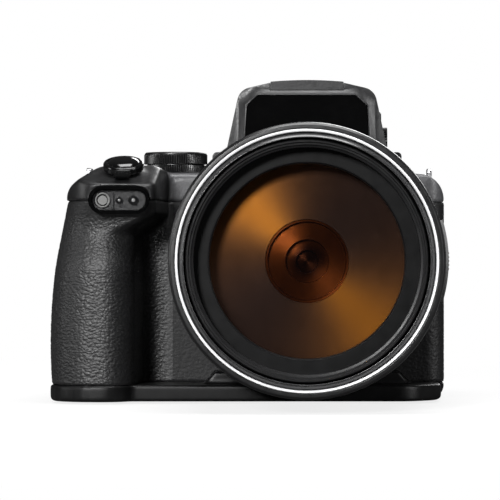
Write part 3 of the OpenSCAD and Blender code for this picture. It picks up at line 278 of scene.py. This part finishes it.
MATS = {
    "shell_black": moulded("shell_black", grey(0.005), 0.34, 0.46, spec=0.25, grain=0.3),
    "crackle_paint": paint("crackle_paint", grey(0.016), 0.30, 0.42, 0.05),
    "grip_rubber": leather("grip_rubber", grey(0.009), 0.44, 0.56, 0.66, 0.03),
    "leatherette": leather("leatherette", grey(0.010), 0.44, 0.56, 0.32, 0.03),
    "gloss_panel": polished("gloss_panel", grey(0.0020), 0.05, 0.12, 0.30),
    "barrel_black": moulded("barrel_black", grey(0.008), 0.26, 0.36, grain=0.22, depth=0.010),
    "tube_black": moulded("tube_black", grey(0.018), 0.20, 0.30, spec=0.9, grain=0.2, depth=0.006),
    "ring_black": moulded("ring_black", grey(0.003), 0.34, 0.44, spec=0.16, grain=0.2, depth=0.008),
    "ribbed_ring": moulded("ribbed_ring", grey(0.010), 0.42, 0.56, grain=0.25),
    "bright_trim": metal("bright_trim", grey(0.90, 1.01), 0.35, 0.5, metallic=0.1),
    "front_glass": glass("front_glass", (0.03, 0.026, 0.03), 0.02, 0.02, 0.03),
    # lens coating: its amber colour along the key light's diagonal is a painted sheen
    "coated_glass": coating("coated_glass", (0.086, 0.030, 0.0035), (0.072, 0.040, 0.030), 0.36, 0.40, 0.8),
    # inner rings: painted shade inside 8 mm, where the rings sink deepest
    "inner_dark": coating("inner_dark", (0.050, 0.011, 0.0015), (0.010, 0.0022, 0.0004), 0.32, 0.38, 0.75,
                          shade_core=8.0),
    "dial_black": moulded("dial_black", grey(0.007), 0.26, 0.38, spec=0.4, grain=0.25, depth=0.010),
    "gloss_black": polished("gloss_black", grey(0.003), 0.08, 0.16, 0.5, 0.3),
    "button_black": moulded("button_black", grey(0.012), 0.32, 0.46, grain=0.25),
    "button_red": moulded("button_red", (0.10, 0.010, 0.010), 0.36, 0.5, grain=0.25),
    "shoe_steel": metal("shoe_steel", grey(0.56, 1.02), 0.24, 0.38, (1, 0.06, 1)),
    "socket_steel": metal("socket_steel", grey(0.42, 1.02), 0.28, 0.42),
    "chassis_metal": metal("chassis_metal", grey(0.42, 1.03), 0.40, 0.55),
    "circuit_board": board("circuit_board"),
    "inner_plastic": moulded("inner_plastic", grey(0.018), 0.45, 0.6),
    "eyecup_rubber": moulded("eyecup_rubber", grey(0.010), 0.5, 0.65, spec=0.4, grain=0.4),
    "smoked_window": glass("smoked_window", grey(0.05), 0.10, 0.04, 0.8),
    "screen_glass": polished("screen_glass", (0.006, 0.007, 0.009), 0.04, 0.09, 0.5, 0.4),
}
DECK = deck_finish("deck_finish", grey(0.009), grey(0.075), HEAD_EDGE_X, -BODY_FRONT - 0.4)
LAMP_SILVER = metal("lamp_silver", grey(0.13, 1.01), 0.16, 0.28, metallic=0.9)
LAMP_LENS = polished("lamp_lens", grey(0.42, 0.98), 0.06, 0.14, 0.8)
RING_SATIN = moulded("ring_satin", grey(0.008), 0.30, 0.40, spec=0.2, grain=0.2, depth=0.004)


# Mesh helpers

def piece(name, verts, faces, body, slot, *replaced, sharp=32.0, finish=None):
    """New piece from points in mm: rides on body, takes the slot's finish, stands for the nodes named."""
    me = bpy.data.meshes.new(name)
    me.from_pydata([Vector(v) * MM for v in verts], [], faces)
    me.validate()
    return dress(name, me, body, slot, *replaced, sharp=sharp, finish=finish)


def dress(name, me, body, slot, *replaced, sharp=32.0, finish=None):
    """Object of a mesh in metres, shaded smooth up to the sharp angle."""
    me.update()
    me.polygons.foreach_set("use_smooth", [True] * len(me.polygons))
    me.set_sharp_from_angle(angle=math.radians(sharp))
    me.materials.clear()
    me.materials.append((finish or MATS[slot]).material)
    ob = bpy.data.objects.new(name, me)
    bpy.context.scene.collection.objects.link(ob)
    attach(ob, body)
    if replaced:
        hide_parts(*replaced)
    return ob


def rounded(corners, steps=5):
    """Closed outline from [x, y, radius] corners."""
    out = []
    n = len(corners)
    for i, (x, y, r) in enumerate(corners):
        c = Vector((x, y))
        if r <= 0:
            out.append(c)
            continue
        u = (Vector(corners[i - 1][:2]) - c).normalized()
        v = (Vector(corners[(i + 1) % n][:2]) - c).normalized()
        half = math.acos(max(-1, min(1, u.dot(v)))) / 2
        if half > math.pi / 2 - 1e-4:
            out.append(c)
            continue
        o = c + (u + v).normalized() * r / math.sin(half)
        s = c + u * r / math.tan(half) - o
        e = c + v * r / math.tan(half) - o
        a0 = math.atan2(s.y, s.x)
        turn = (math.atan2(e.y, e.x) - a0 + math.pi) % (2 * math.pi) - math.pi
        out += [o + r * Vector((math.cos(a0 + turn * k / steps), math.sin(a0 + turn * k / steps)))
                for k in range(steps + 1)]
    return out


def resample(line, count):
    """Evenly spaced points along an open line."""
    run = [0.0]
    for a, b in zip(line, line[1:]):
        run.append(run[-1] + (b - a).length)
    points, k = [], 0
    for i in range(count):
        s = run[-1] * i / (count - 1)
        while k < len(run) - 2 and run[k + 1] < s:
            k += 1
        points.append(line[k].lerp(line[k + 1], (s - run[k]) / max(1e-9, run[k + 1] - run[k])))
    return points


def lathe(name, profile, body, slot, *replaced, edge=0.15, segments=224, sharp=32.0, at=None, finish=None):
    """Ring or disc turned about the lens axis, or a parallel one at (x, z), from a closed
    (radius, forward station) outline in mm."""
    x0, z0 = at or (0.0, LENS_Z)
    outline = rounded([(r, w, 0 if r <= ON_AXIS else edge) for r, w in profile], 3)
    n = len(outline)
    verts, faces = [], []
    for k in range(segments):
        a = 2 * math.pi * k / segments
        verts += [(x0 + p.x * math.cos(a), -p.y, z0 + p.x * math.sin(a)) for p in outline]
    area = sum(outline[i - 1].x * outline[i].y - outline[i].x * outline[i - 1].y for i in range(n))
    for k in range(segments):
        j = (k + 1) % segments
        for i in range(n):
            m = (i + 1) % n
            if outline[i].x <= ON_AXIS and outline[m].x <= ON_AXIS:
                continue
            quad = [k * n + i, k * n + m, j * n + m, j * n + i]
            if outline[i].x <= ON_AXIS:
                quad = [k * n + i, k * n + m, j * n + m]
            elif outline[m].x <= ON_AXIS:
                quad = [k * n + i, k * n + m, j * n + i]
            faces.append(quad if area > 0 else quad[::-1])
    ob = piece(name, verts, faces, body, slot, *replaced, sharp=sharp, finish=finish)
    ob.modifiers.new("weld", "WELD").merge_threshold = WELD
    normals = ob.modifiers.new("normals", "WEIGHTED_NORMAL")
    normals.weight = 90
    normals.keep_sharp = True


def skin(name, outer, inner, keep, body, slot, *replaced):
    """Closed sheet between two grids of points, without the cells that keep() refuses."""
    rows, cols = len(outer), len(outer[0])
    cells = [(i, j) for i in range(rows - 1) for j in range(cols - 1)
             if keep((outer[i][j] + outer[i + 1][j + 1]) / 2)]
    held = set(cells)
    index, verts, faces = {}, [], []

    def at(layer, i, j):
        key = (layer, i, j)
        if key not in index:
            index[key] = len(verts)
            verts.append((outer if layer == 0 else inner)[i][j])
        return index[key]

    for i, j in cells:
        ring = [(i, j), (i, j + 1), (i + 1, j + 1), (i + 1, j)]
        faces.append([at(0, *c) for c in ring])
        faces.append([at(1, *c) for c in ring[::-1]])
        sides = zip(zip(ring, ring[1:] + ring[:1]), [(i - 1, j), (i, j + 1), (i + 1, j), (i, j - 1)])
        for (a, b), other in sides:
            if other not in held:
                faces.append([at(0, *b), at(0, *a), at(1, *a), at(1, *b)])
    piece(name, verts, faces, body, slot, *replaced, sharp=60.0)


def softened(node, voxel, passes, weight=None, finish=None):
    """Stands for a CAD node with its moulded edges rounded: a fine voxel skin of the same solid,
    smoothed that many times where weight(x, y, z in mm) says so."""
    tool = bpy.data.objects.new("tool", nodes[node].data.copy())
    bpy.context.scene.collection.objects.link(tool)
    remesh = tool.modifiers.new("skin", "REMESH")
    remesh.mode = "VOXEL"
    remesh.voxel_size = voxel * MM
    me = bpy.data.meshes.new_from_object(tool.evaluated_get(bpy.context.evaluated_depsgraph_get()))
    bpy.data.objects.remove(tool)
    co = np.empty(len(me.vertices) * 3)
    me.vertices.foreach_get("co", co)
    co = co.reshape(-1, 3)
    edges = np.empty(len(me.edges) * 2, np.int64)
    me.edges.foreach_get("vertices", edges)
    a, b = edges.reshape(-1, 2).T
    count = np.bincount(a, minlength=len(co)) + np.bincount(b, minlength=len(co))
    pull = 0.6 * (np.ones(len(co)) if weight is None else weight(*(co / MM).T))
    for _ in range(passes):
        for axis in range(3):
            c = co[:, axis]
            total = np.bincount(a, c[b], len(co)) + np.bincount(b, c[a], len(co))
            co[:, axis] = c + pull * (total / count - c)
    me.vertices.foreach_set("co", co.ravel())
    body = next(b for b, names in frame["record"]["behaviour"]["bodies"].items() if node in names)
    dress(node + "_moulded", me, body, slot_of[node], node, sharp=180.0, finish=finish)


def lerp(a, b, t):
    return a + (b - a) * t


def ease(t):
    t = min(1.0, max(0.0, t))
    return t * t * (3 - 2 * t)


def creases(p, depth, size=(1.7, 0.95)):
    """Height of the moulded leather grain at a point in mm, from about -depth to 0: domed pebbles
    of that width and height between crisp creases."""
    warp = noise.noise_vector(p * 0.28) * 0.9 + noise.noise_vector(p * 0.95) * 0.25
    q = Vector((p.x / size[0], p.y / size[0], p.z / size[1])) + warp
    near = noise.voronoi(q)[0]
    gap = ease((near[1] - near[0]) / 0.25)
    return -depth * (0.6 * (1 - gap) + 0.4 * min(1.0, (near[0] / 0.7) ** 2))


# Grip skin: the CAD's loft, sampled finely and grained

GRIP = dict(reach=-GRIP_LOW.x, front=-GRIP_LOW.y, belly=22.0, lean=20.3, waist=63.5, head=55.0, hook=3.5,
            seam_x=50.0, step=3.0, overhang_low=13.0, overhang_h=9.0)
LAMP_LOW, LAMP_HIGH = box_mm("lamp_bezel")
LAMP_X = (LAMP_LOW.x + LAMP_HIGH.x) / 2
LAMP_W, LAMP_H = LAMP_HIGH.x - LAMP_LOW.x, LAMP_HIGH.z - LAMP_LOW.z


def grip_path(z, e, count):
    """Plan of the grip skin at height z, drawn in by e, as evenly spaced points."""
    g = GRIP
    out = g["reach"] - ((z - g["belly"]) / g["lean"]) ** 2
    nose = -g["front"] + g["hook"] * (1 - ease(abs(z - (SEAM_Z - 11)) / 15))
    blend = ease((z - SEAM_Z + g["overhang_low"]) / g["overhang_h"])
    inn = lerp(g["waist"], g["head"], blend)
    corners = [(-g["seam_x"], SPLIT_Y, 0), (-g["seam_x"], -BODY_FRONT + e, 0),
               (-inn + g["step"] - e, -BODY_FRONT + e, lerp(6, 1.2, blend) + e),
               (-inn - e, nose + e, lerp(11, 4.5, blend) - min(e, 4)),
               (-out + e, nose + 2 + e, 17 - e),
               (-out + 2.5 + e, SPLIT_Y, 0)]
    return [Vector((p.x, p.y, z)) for p in resample(rounded(corners, 14)[1:], count)]


def in_lamp(x, z, margin):
    half = (LAMP_W - LAMP_H) / 2
    return math.hypot(max(0.0, abs(x - LAMP_X) - half), z - SEAM_Z) < LAMP_H / 2 - margin


def make_grip():
    rows, cols = 300, 560
    rim_rows, rim_drop = 3.0, 0.35
    lamp_y = -45
    outer, inner = [], []
    for i in range(rows):
        z = lerp(CAP_Z + 0.05, SEAM_Z - 0.05, i / (rows - 1))
        rim = min(1.0, min(i, rows - 1 - i) / rim_rows)
        row, back = [], grip_path(z, SKIN_T, cols)
        for p, q in zip(grip_path(z, 0, cols), back):
            smooth_top = 0.30 + 0.70 * ease((SEAM_Z - 3 - z) / 5)
            flat = ease((p.y + 40) / 15) * ease((p.x + 55) / 4)
            grain = creases(p, lerp(GRIP_GRAIN, FINE_GRAIN, flat))
            drop = rim_drop * (1 - rim) - grain * smooth_top
            row.append(p + (q - p).normalized() * drop)
        outer.append(row)
        inner.append(back)

    def keep(p):
        if p.y < lamp_y and in_lamp(p.x, p.z, 0.5):
            return False
        return p.y > 0 or math.hypot(p.x, p.z - LENS_Z) > BASE_R

    skin("grip_skin", outer, inner, keep, "camera", "grip_rubber", "grip_rubber")


# Leatherette beside the lens

CRADLE = dict(half=38.2, slant=4.0, rise=4.4)


def off_lens(p):
    """True where the front leather is clear of the lens base and of the cradle's slanted end."""
    if math.hypot(p.x, p.z - LENS_Z) < BASE_R:
        return False
    up = (p.z - CAP_Z) / CRADLE["rise"]
    return up > 1 or abs(p.x) > CRADLE["half"] - CRADLE["slant"] * max(0.0, up)


def make_leather():
    low, high = CAP_Z + 0.1, SEAM_Z - 0.1
    inner_x, edge_w, edge_drop = 29.0, 0.8, 0.3
    zs = [lerp(low, high, i / 220) for i in range(221)]

    def grain(p, n, z):
        near = min(1.0, (z - low) / edge_w, (high - z) / edge_w)
        depth = lerp(FINE_GRAIN, SIDE_GRAIN, ease((p.x - 20) / 10))
        return p + n * (creases(p, depth) - edge_drop * (1 - near))

    front = Vector((0, -1, 0))
    xs = [lerp(-GRIP["seam_x"], -inner_x, i / 70) for i in range(71)]
    outer = [[grain(Vector((x, -BODY_FRONT, z)), front, z) for x in xs] for z in zs]
    inner = [[Vector((x, -BODY_FRONT + SKIN_T, z)) for x in xs] for z in zs]
    skin("leather_front", outer, inner, off_lens, "camera", "leatherette", "leather_panels")

    # far side: round the corner and along the camera's left-hand side
    end, corner = SPLIT_Y - 0.1, 7.0
    lines = [rounded([(inner_x, -BODY_FRONT + e, 0), (BODY_RIGHT - e, -BODY_FRONT + e, corner - e),
                      (BODY_RIGHT - e, end, 0), (inner_x, end, 0)], 16)[:-1] for e in (0, SKIN_T)]
    paths = [resample(line, 230) for line in lines]
    outer, inner = [], []
    for z in zs:
        pairs = [(Vector((p.x, p.y, z)), Vector((q.x, q.y, z))) for p, q in zip(*paths)]
        outer.append([grain(p, (p - q).normalized(), z) for p, q in pairs])
        inner.append([q for _, q in pairs])
    port_low, port_high = box_mm("port_cover")

    def keep(p):
        if p.y < -BODY_FRONT + 1.8 and not off_lens(p):
            return False
        return not (p.x > BODY_RIGHT - 3 and port_low.y - 0.5 < p.y < port_high.y + 0.3
                    and port_low.z - 0.3 < p.z < port_high.z + 0.3)

    skin("leather_side", outer, inner, keep, "camera", "leatherette")


# Lens rings and glass, on the CAD's radii and stations

def make_barrel():
    """Fixed barrel, its bright trim ring and the two tubes that slide in it."""
    outer, bore, mouth, ledge = 47.0, 44.8, 44.75, 43.7
    back, ledge_back, ledge_w = 70.2, 122.4, 125.0
    lathe("barrel", [(bore, back), (outer, back), (outer, RIM_W - 2.2), (outer - 0.25, RIM_W - 0.8),
                     (outer - 1.0, RIM_W - 0.1), (mouth, RIM_W), (mouth, ledge_w), (ledge, ledge_w),
                     (ledge, ledge_back), (bore, ledge_back)],
          "camera", "barrel_black", "fixed_barrel", edge=0.25)
    trim_in, trim_out, trim_back = 43.65, 44.6, ledge_w + 0.05
    lathe("trim", [(trim_in, trim_back), (trim_out, trim_back), (trim_out, TRIM_W - 0.3),
                   (trim_out - 0.25, TRIM_W), (trim_in + 0.2, TRIM_W - 0.15), (trim_in, TRIM_W - 0.6)],
          "camera", "bright_trim", "trim_ring", edge=0.1)
    tube_in, tube_out, flange_r, chamfer = 41.7, 43.3, 44.5, 1.3
    tube_back, flange_w = 52, 58
    lathe("tube_outer", [(tube_in, tube_back), (flange_r, tube_back), (flange_r, flange_w), (tube_out, flange_w),
                         (tube_out, TUBE_W - chamfer), (tube_out - chamfer, TUBE_W), (tube_in, TUBE_W)],
          "lens_outer", "tube_black", "lens_stage_1", edge=0.1)
    stage_in, stage_out, stage_w = 40.3, 41.4, 122.3
    lathe("tube_inner", [(stage_in, flange_w), (stage_out, flange_w), (stage_out, stage_w), (stage_in, stage_w)],
          "lens_inner", "ring_black", "lens_stage_2", edge=0.12)


def make_front():
    """Filter ring, retaining ring and glass at the front of the inner tube."""
    crest, root, pitch, mouth, thread_end = 38.5, 38.85, 0.75, 124.3, 118.3
    thread = []
    for k in range(int((mouth - thread_end) / pitch)):
        w = mouth - pitch * k
        thread += [(crest, w), (crest, w - 0.2), (root, w - 0.38), (root, w - 0.57)]
    ring_in, ring_out, lip_r = 39.3, 40.2, 41.1
    ring_back, lip_back, lip_w = DISH_W - 2.2, 122.4, 126.3
    lip = [(ring_in, ring_back), (ring_out, ring_back), (ring_out, lip_back), (lip_r, lip_back), (lip_r, lip_w - 0.5),
           (lip_r - 0.35, lip_w), (ring_out, lip_w), (ring_out - 0.15, lip_w - 0.9), (ring_in + 0.05, lip_w - 0.9),
           (ring_in, mouth + 0.2)]
    lathe("filter_ring_lip", lip + thread + [(crest, thread_end), (ring_in, thread_end - 0.05)],
          "lens_inner", "ring_black", "filter_ring", edge=0.05, finish=RING_SATIN)

    glass_w, glass_t, glass_r = DISH_W + 3.2, 2, 36.9
    hold_w, hold_back, hold_front = glass_w + 0.1, glass_w - 3, 118.05
    hold_in, hold_seat, hold_r = 33.75, 37.0, 39.2
    lathe("retainer", [(hold_in, hold_w), (hold_in, hold_front), (hold_r, hold_front), (hold_r, hold_back),
                       (hold_seat, hold_back), (hold_seat, hold_w)],
          "lens_inner", "ring_black", "front_retainer", edge=0.1)
    lip_in, lip_out = 33.3, 33.74
    lathe("retainer_lip", [(lip_in, hold_w), (lip_in, hold_front - 0.55), (lip_out, hold_front - 0.05),
                           (lip_out, hold_w)], "lens_inner", "ring_black", edge=0.05, finish=RING_SATIN)
    steps, dome_r, dome_rim = 14, 150.0, 33.2
    sink = math.sqrt(dome_r ** 2 - dome_rim ** 2)
    dome = [(dome_rim * i / steps, glass_w + math.sqrt(dome_r ** 2 - (dome_rim * i / steps) ** 2) - sink)
            for i in range(steps + 1)]
    glass_back = glass_w - glass_t
    lathe("front_lens", dome + [(dome_rim, glass_w), (glass_r, glass_w), (glass_r, glass_back), (0, glass_back)],
          "lens_inner", "front_glass", "front_element", edge=0.0, sharp=40)

    hole_r, coated_r, coated_rim, coated_back = 14.4, 33.7, 37.3, DISH_W - 5.8
    lathe("coated_lens", [(hole_r, coated_back), (coated_rim, coated_back), (coated_rim, DISH_W - 2),
                          (hold_r, DISH_W - 2), (hold_r, DISH_W), (coated_r + 0.8, DISH_W),
                          (coated_r, DISH_W - 0.3), (hole_r, CROWN_W)],
          "lens_inner", "coated_glass", "coated_element", edge=0.0, sharp=10)
    # three rings, each deeper than the one around it and sloping outwards
    cell_r, cell_back, cell_w = 14.3, DISH_W - 26, DISH_W + 0.1
    lathe("inner_rings", [(0, cell_back), (cell_r, cell_back), (cell_r, cell_w), (cell_r - 0.7, cell_w),
                          (13.3, DISH_W - 1.6), (7.5, DISH_W - 1.15), (7.3, DISH_W - 3.4), (3.8, DISH_W - 3.1),
                          (3.6, DISH_W - 5.2), (0, DISH_W - 4.9)],
          "lens_inner", "inner_dark", "inner_cell", edge=0.0, sharp=10)


# Lamp window: silver tray with a wide lamp and two small ringed ones behind a clear pane

def make_lamps():
    floor_w = -LAMP_HIGH.y + 1.02
    pane_low, pane_high = box_mm("lamp_window")
    half = (LAMP_W - LAMP_H) / 2

    def obround(margin, w):
        r = LAMP_H / 2 - margin
        ends = [(half, -90), (-half, 90)]
        return [(LAMP_X + x + r * math.cos(math.radians(a + 10 * k)), -w,
                 SEAM_Z + r * math.sin(math.radians(a + 10 * k))) for x, a in ends for k in range(19)]

    def slab(name, margins_and_stations, slot, *replaced, finish=None):
        rings = [obround(m, w) for m, w in margins_and_stations]
        n = len(rings[0])
        faces = [list(range(n))[::-1], [(len(rings) - 1) * n + k for k in range(n)]]
        faces += [[i * n + k, i * n + (k + 1) % n, (i + 1) * n + (k + 1) % n, (i + 1) * n + k]
                  for i in range(len(rings) - 1) for k in range(n)]
        piece(name, sum(rings, []), faces, "camera", slot, *replaced, finish=finish)

    tray_inset, pane_inset = 1.3, 1.3
    slab("lamp_tray", [(tray_inset, floor_w), (tray_inset, floor_w + 0.2), (tray_inset + 0.2, floor_w + 0.35)],
         "smoked_window", finish=LAMP_SILVER)
    slab("lamp_pane", [(pane_inset, -pane_high.y), (pane_inset, -pane_low.y - 0.5), (pane_inset + 0.5, -pane_low.y)],
         "smoked_window", "lamp_window")
    top = floor_w + 0.3
    wide_x, wide_r = -5.9, 2.7
    lathe("lamp_wide", [(0, top), (wide_r, top), (wide_r, top + 1.2), (wide_r - 0.3, top + 1.5),
                        (wide_r - 0.6, top + 1.1), (0, top + 1.5)],
          "camera", "smoked_window", edge=0.1, segments=64, at=(LAMP_X + wide_x, SEAM_Z), finish=LAMP_LENS)
    for k, (dx, r) in enumerate([(0.1, 1.2), (5.2, 1.7)]):
        lathe(f"lamp_ring_{k}", [(0, top), (r, top), (r, top + 1.3), (r - 0.35, top + 1.5), (r - 0.5, top + 1.0),
                                 (0, top + 0.9)],
              "camera", "gloss_panel", edge=0.06, segments=48, at=(LAMP_X + dx, SEAM_Z))
        lathe(f"lamp_bead_{k}", [(0, top + 0.9), (r * 0.45, top + 0.9), (r * 0.4, top + 1.2), (0, top + 1.4)],
              "camera", "smoked_window", edge=0.05, segments=32, at=(LAMP_X + dx, SEAM_Z), finish=LAMP_LENS)
    bar_x, bar_w, bar_t, bar_half = -2.9, 0.9, 1.4, 3.1
    bar = [(LAMP_X + bar_x + bar_w * i, -(top + bar_t * j), SEAM_Z + bar_half * k)
           for i in (0, 1) for j in (0, 1) for k in (-1, 1)]
    piece("lamp_divider", bar, [[0, 1, 3, 2], [4, 6, 7, 5], [0, 4, 5, 1], [2, 3, 7, 6], [0, 2, 6, 4], [1, 5, 7, 3]],
          "camera", "smoked_window", finish=LAMP_SILVER)


make_grip()
make_leather()
make_barrel()
make_front()
make_lamps()


def head_weight(x, y, z):
    """Strong rounding on the head of the grip, light rounding on the deck."""
    t = np.clip((-x - 47) / 6, 0, 1) * np.clip((z - SEAM_Z - 0.5) / 3, 0, 1)
    return 0.12 + 0.88 * t


softened("top_cover", 0.45, 40, head_weight, DECK)
softened("bottom_plate", 0.5, 8)

# CAD nodes that keep their shape: finish by slot, softened edges

BEVEL = {"hump_cover": 0.35, "rear_shell": 0.4, "monitor_case": 0.3, "eyecup": 0.5, "mode_dial": 0.12,
         "command_dial": 0.12, "diopter_dial": 0.1, "control_ring": 0.12, "shutter_button": 0.2, "zoom_lever": 0.2,
         "flash_head": 0.3, "lens_base": 0.35, "thumb_rest": 0.5, "lamp_bezel": 0.25, "name_panel": 0.1,
         "port_cover": 0.3}
SMALL_BEVEL, BEVEL_FROM = 0.15, 38      # mm, and the least angle in degrees
for name, ob in nodes.items():
    ob.data.materials.clear()
    ob.data.materials.append(MATS[slot_of[name]].material)
    if ob.hide_render:
        continue
    ob.modifiers.new("weld", "WELD").merge_threshold = WELD
    bevel = ob.modifiers.new("bevel", "BEVEL")
    bevel.width = BEVEL.get(name, SMALL_BEVEL) * MM
    bevel.segments = 2
    bevel.limit_method = "ANGLE"
    bevel.angle_limit = math.radians(BEVEL_FROM)
    normals = ob.modifiers.new("normals", "WEIGHTED_NORMAL")
    normals.keep_sharp = False
    normals.weight = 80


# Stage, light and camera

def stage():
    """White ground: shows the object's shadow near it, runs out to plain white, and is dull to
    what the object reflects."""
    me = bpy.data.meshes.new("floor")
    size = 30.0
    me.from_pydata([(-size, -size, 0), (size, -size, 0), (size, size, 0), (-size, size, 0)], [], [[0, 1, 2, 3]])
    floor = bpy.data.objects.new("floor", me)
    bpy.context.scene.collection.objects.link(floor)
    m = Mat("floor", Roughness=0.9, Specular_IOR_Level=0.0)
    seen = m.node("ShaderNodeLightPath").outputs["Is Camera Ray"]
    m.tree.links.new(m.mix(seen, grey(0.10, 1.0), grey(0.9, 1.0)), m.bsdf.inputs["Base Color"])
    away = m.node("ShaderNodeVectorMath", {0: m.coords}, operation="LENGTH").outputs["Value"]
    white = m.math("MULTIPLY", seen, m.ramp(away, 0.10, 0.45, 0.80, 1.0))
    mix = m.node("ShaderNodeMixShader", {0: white, 1: m.bsdf.outputs[0], 2: m.node("ShaderNodeEmission").outputs[0]})
    m.tree.links.new(mix.outputs[0], m.tree.nodes["Material Output"].inputs["Surface"])
    me.materials.append(m.material)


def world():
    """White ground behind the object for what looks at it, dark room in front, little fill."""
    front, behind, fill = 0.015, 0.05, 0.05
    w = bpy.data.worlds.new("studio")
    bpy.context.scene.world = w
    w.use_nodes = True
    tree = w.node_tree
    back = tree.nodes["Background"]
    path = tree.nodes.new("ShaderNodeLightPath")
    way = tree.nodes.new("ShaderNodeSeparateXYZ")
    tree.links.new(tree.nodes.new("ShaderNodeTexCoord").outputs["Generated"], way.inputs[0])
    room = tree.nodes.new("ShaderNodeMapRange")
    for key, value in (("From Min", -0.15), ("From Max", 0.45), ("To Min", front), ("To Max", behind)):
        room.inputs[key].default_value = value
    tree.links.new(way.outputs["Y"], room.inputs["Value"])
    glossy = tree.nodes.new("ShaderNodeMix")
    glossy.inputs["A"].default_value = fill
    tree.links.new(path.outputs["Is Glossy Ray"], glossy.inputs["Factor"])
    tree.links.new(room.outputs["Result"], glossy.inputs["B"])
    most = tree.nodes.new("ShaderNodeMath")
    most.operation = "MAXIMUM"
    tree.links.new(path.outputs["Is Camera Ray"], most.inputs[0])
    tree.links.new(path.outputs["Is Transmission Ray"], most.inputs[1])
    seen = tree.nodes.new("ShaderNodeMix")
    seen.inputs["B"].default_value = 1.0
    tree.links.new(most.outputs[0], seen.inputs["Factor"])
    tree.links.new(glossy.outputs["Result"], seen.inputs["A"])
    tree.links.new(seen.outputs["Result"], back.inputs["Strength"])
    back.inputs["Color"].default_value = (1, 1, 1, 1)


def lamp(name, where, at, size, power):
    """Soft box at a place in metres, turned towards another, of that width, height and wattage."""
    data = bpy.data.lights.new(name, "AREA")
    data.shape = "RECTANGLE"
    data.size, data.size_y = size
    data.energy = power
    ob = bpy.data.objects.new(name, data)
    ob.location = where
    ob.rotation_euler = (Vector(at) - Vector(where)).to_track_quat("-Z", "Y").to_euler()
    bpy.context.scene.collection.objects.link(ob)


CENTRE = (0.0, -0.05, 0.05)
stage()
world()
lamp("key", (-0.62, -1.91, 0.67), CENTRE, (0.45, 0.45), 40)
lamp("top", (0.05, -0.25, 1.25), CENTRE, (0.9, 0.6), 15)
lamp("left_strip", (-1.25, -0.30, 0.25), CENTRE, (0.3, 0.9), 3.5)
lamp("right_strip", (1.10, -0.75, 0.35), CENTRE, (0.4, 0.9), 9)
lamp("rear", (0.50, 1.70, 0.90), CENTRE, (1.0, 0.8), 14)

# The photo's camera: its picture and focal length in pixels, where the lens axis lies right of and below
# the picture's middle, and how far it stands before the lens front
PICTURE_PX, FOCAL_PX, AXIS_PX = 500, 2970, (57.0, 11.1)
VIEW_DISTANCE = 1.0
SENSOR = 36.0
cam_data = bpy.data.cameras.new("camera")
cam_data.sensor_width = SENSOR
cam_data.lens = SENSOR * FOCAL_PX / PICTURE_PX
cam_data.shift_x = -AXIS_PX[0] / PICTURE_PX
cam_data.shift_y = AXIS_PX[1] / PICTURE_PX
cam_data.clip_end = 100
cam = bpy.data.objects.new("camera", cam_data)
cam.location = (0, -VIEW_DISTANCE - TUBE_W * MM, LENS_Z * MM)
cam.rotation_euler = (math.radians(90), 0, 0)
bpy.context.scene.collection.objects.link(cam)
bpy.context.scene.camera = cam
bpy.context.scene.view_settings.view_transform = "Standard"

bpy.context.view_layer.update()
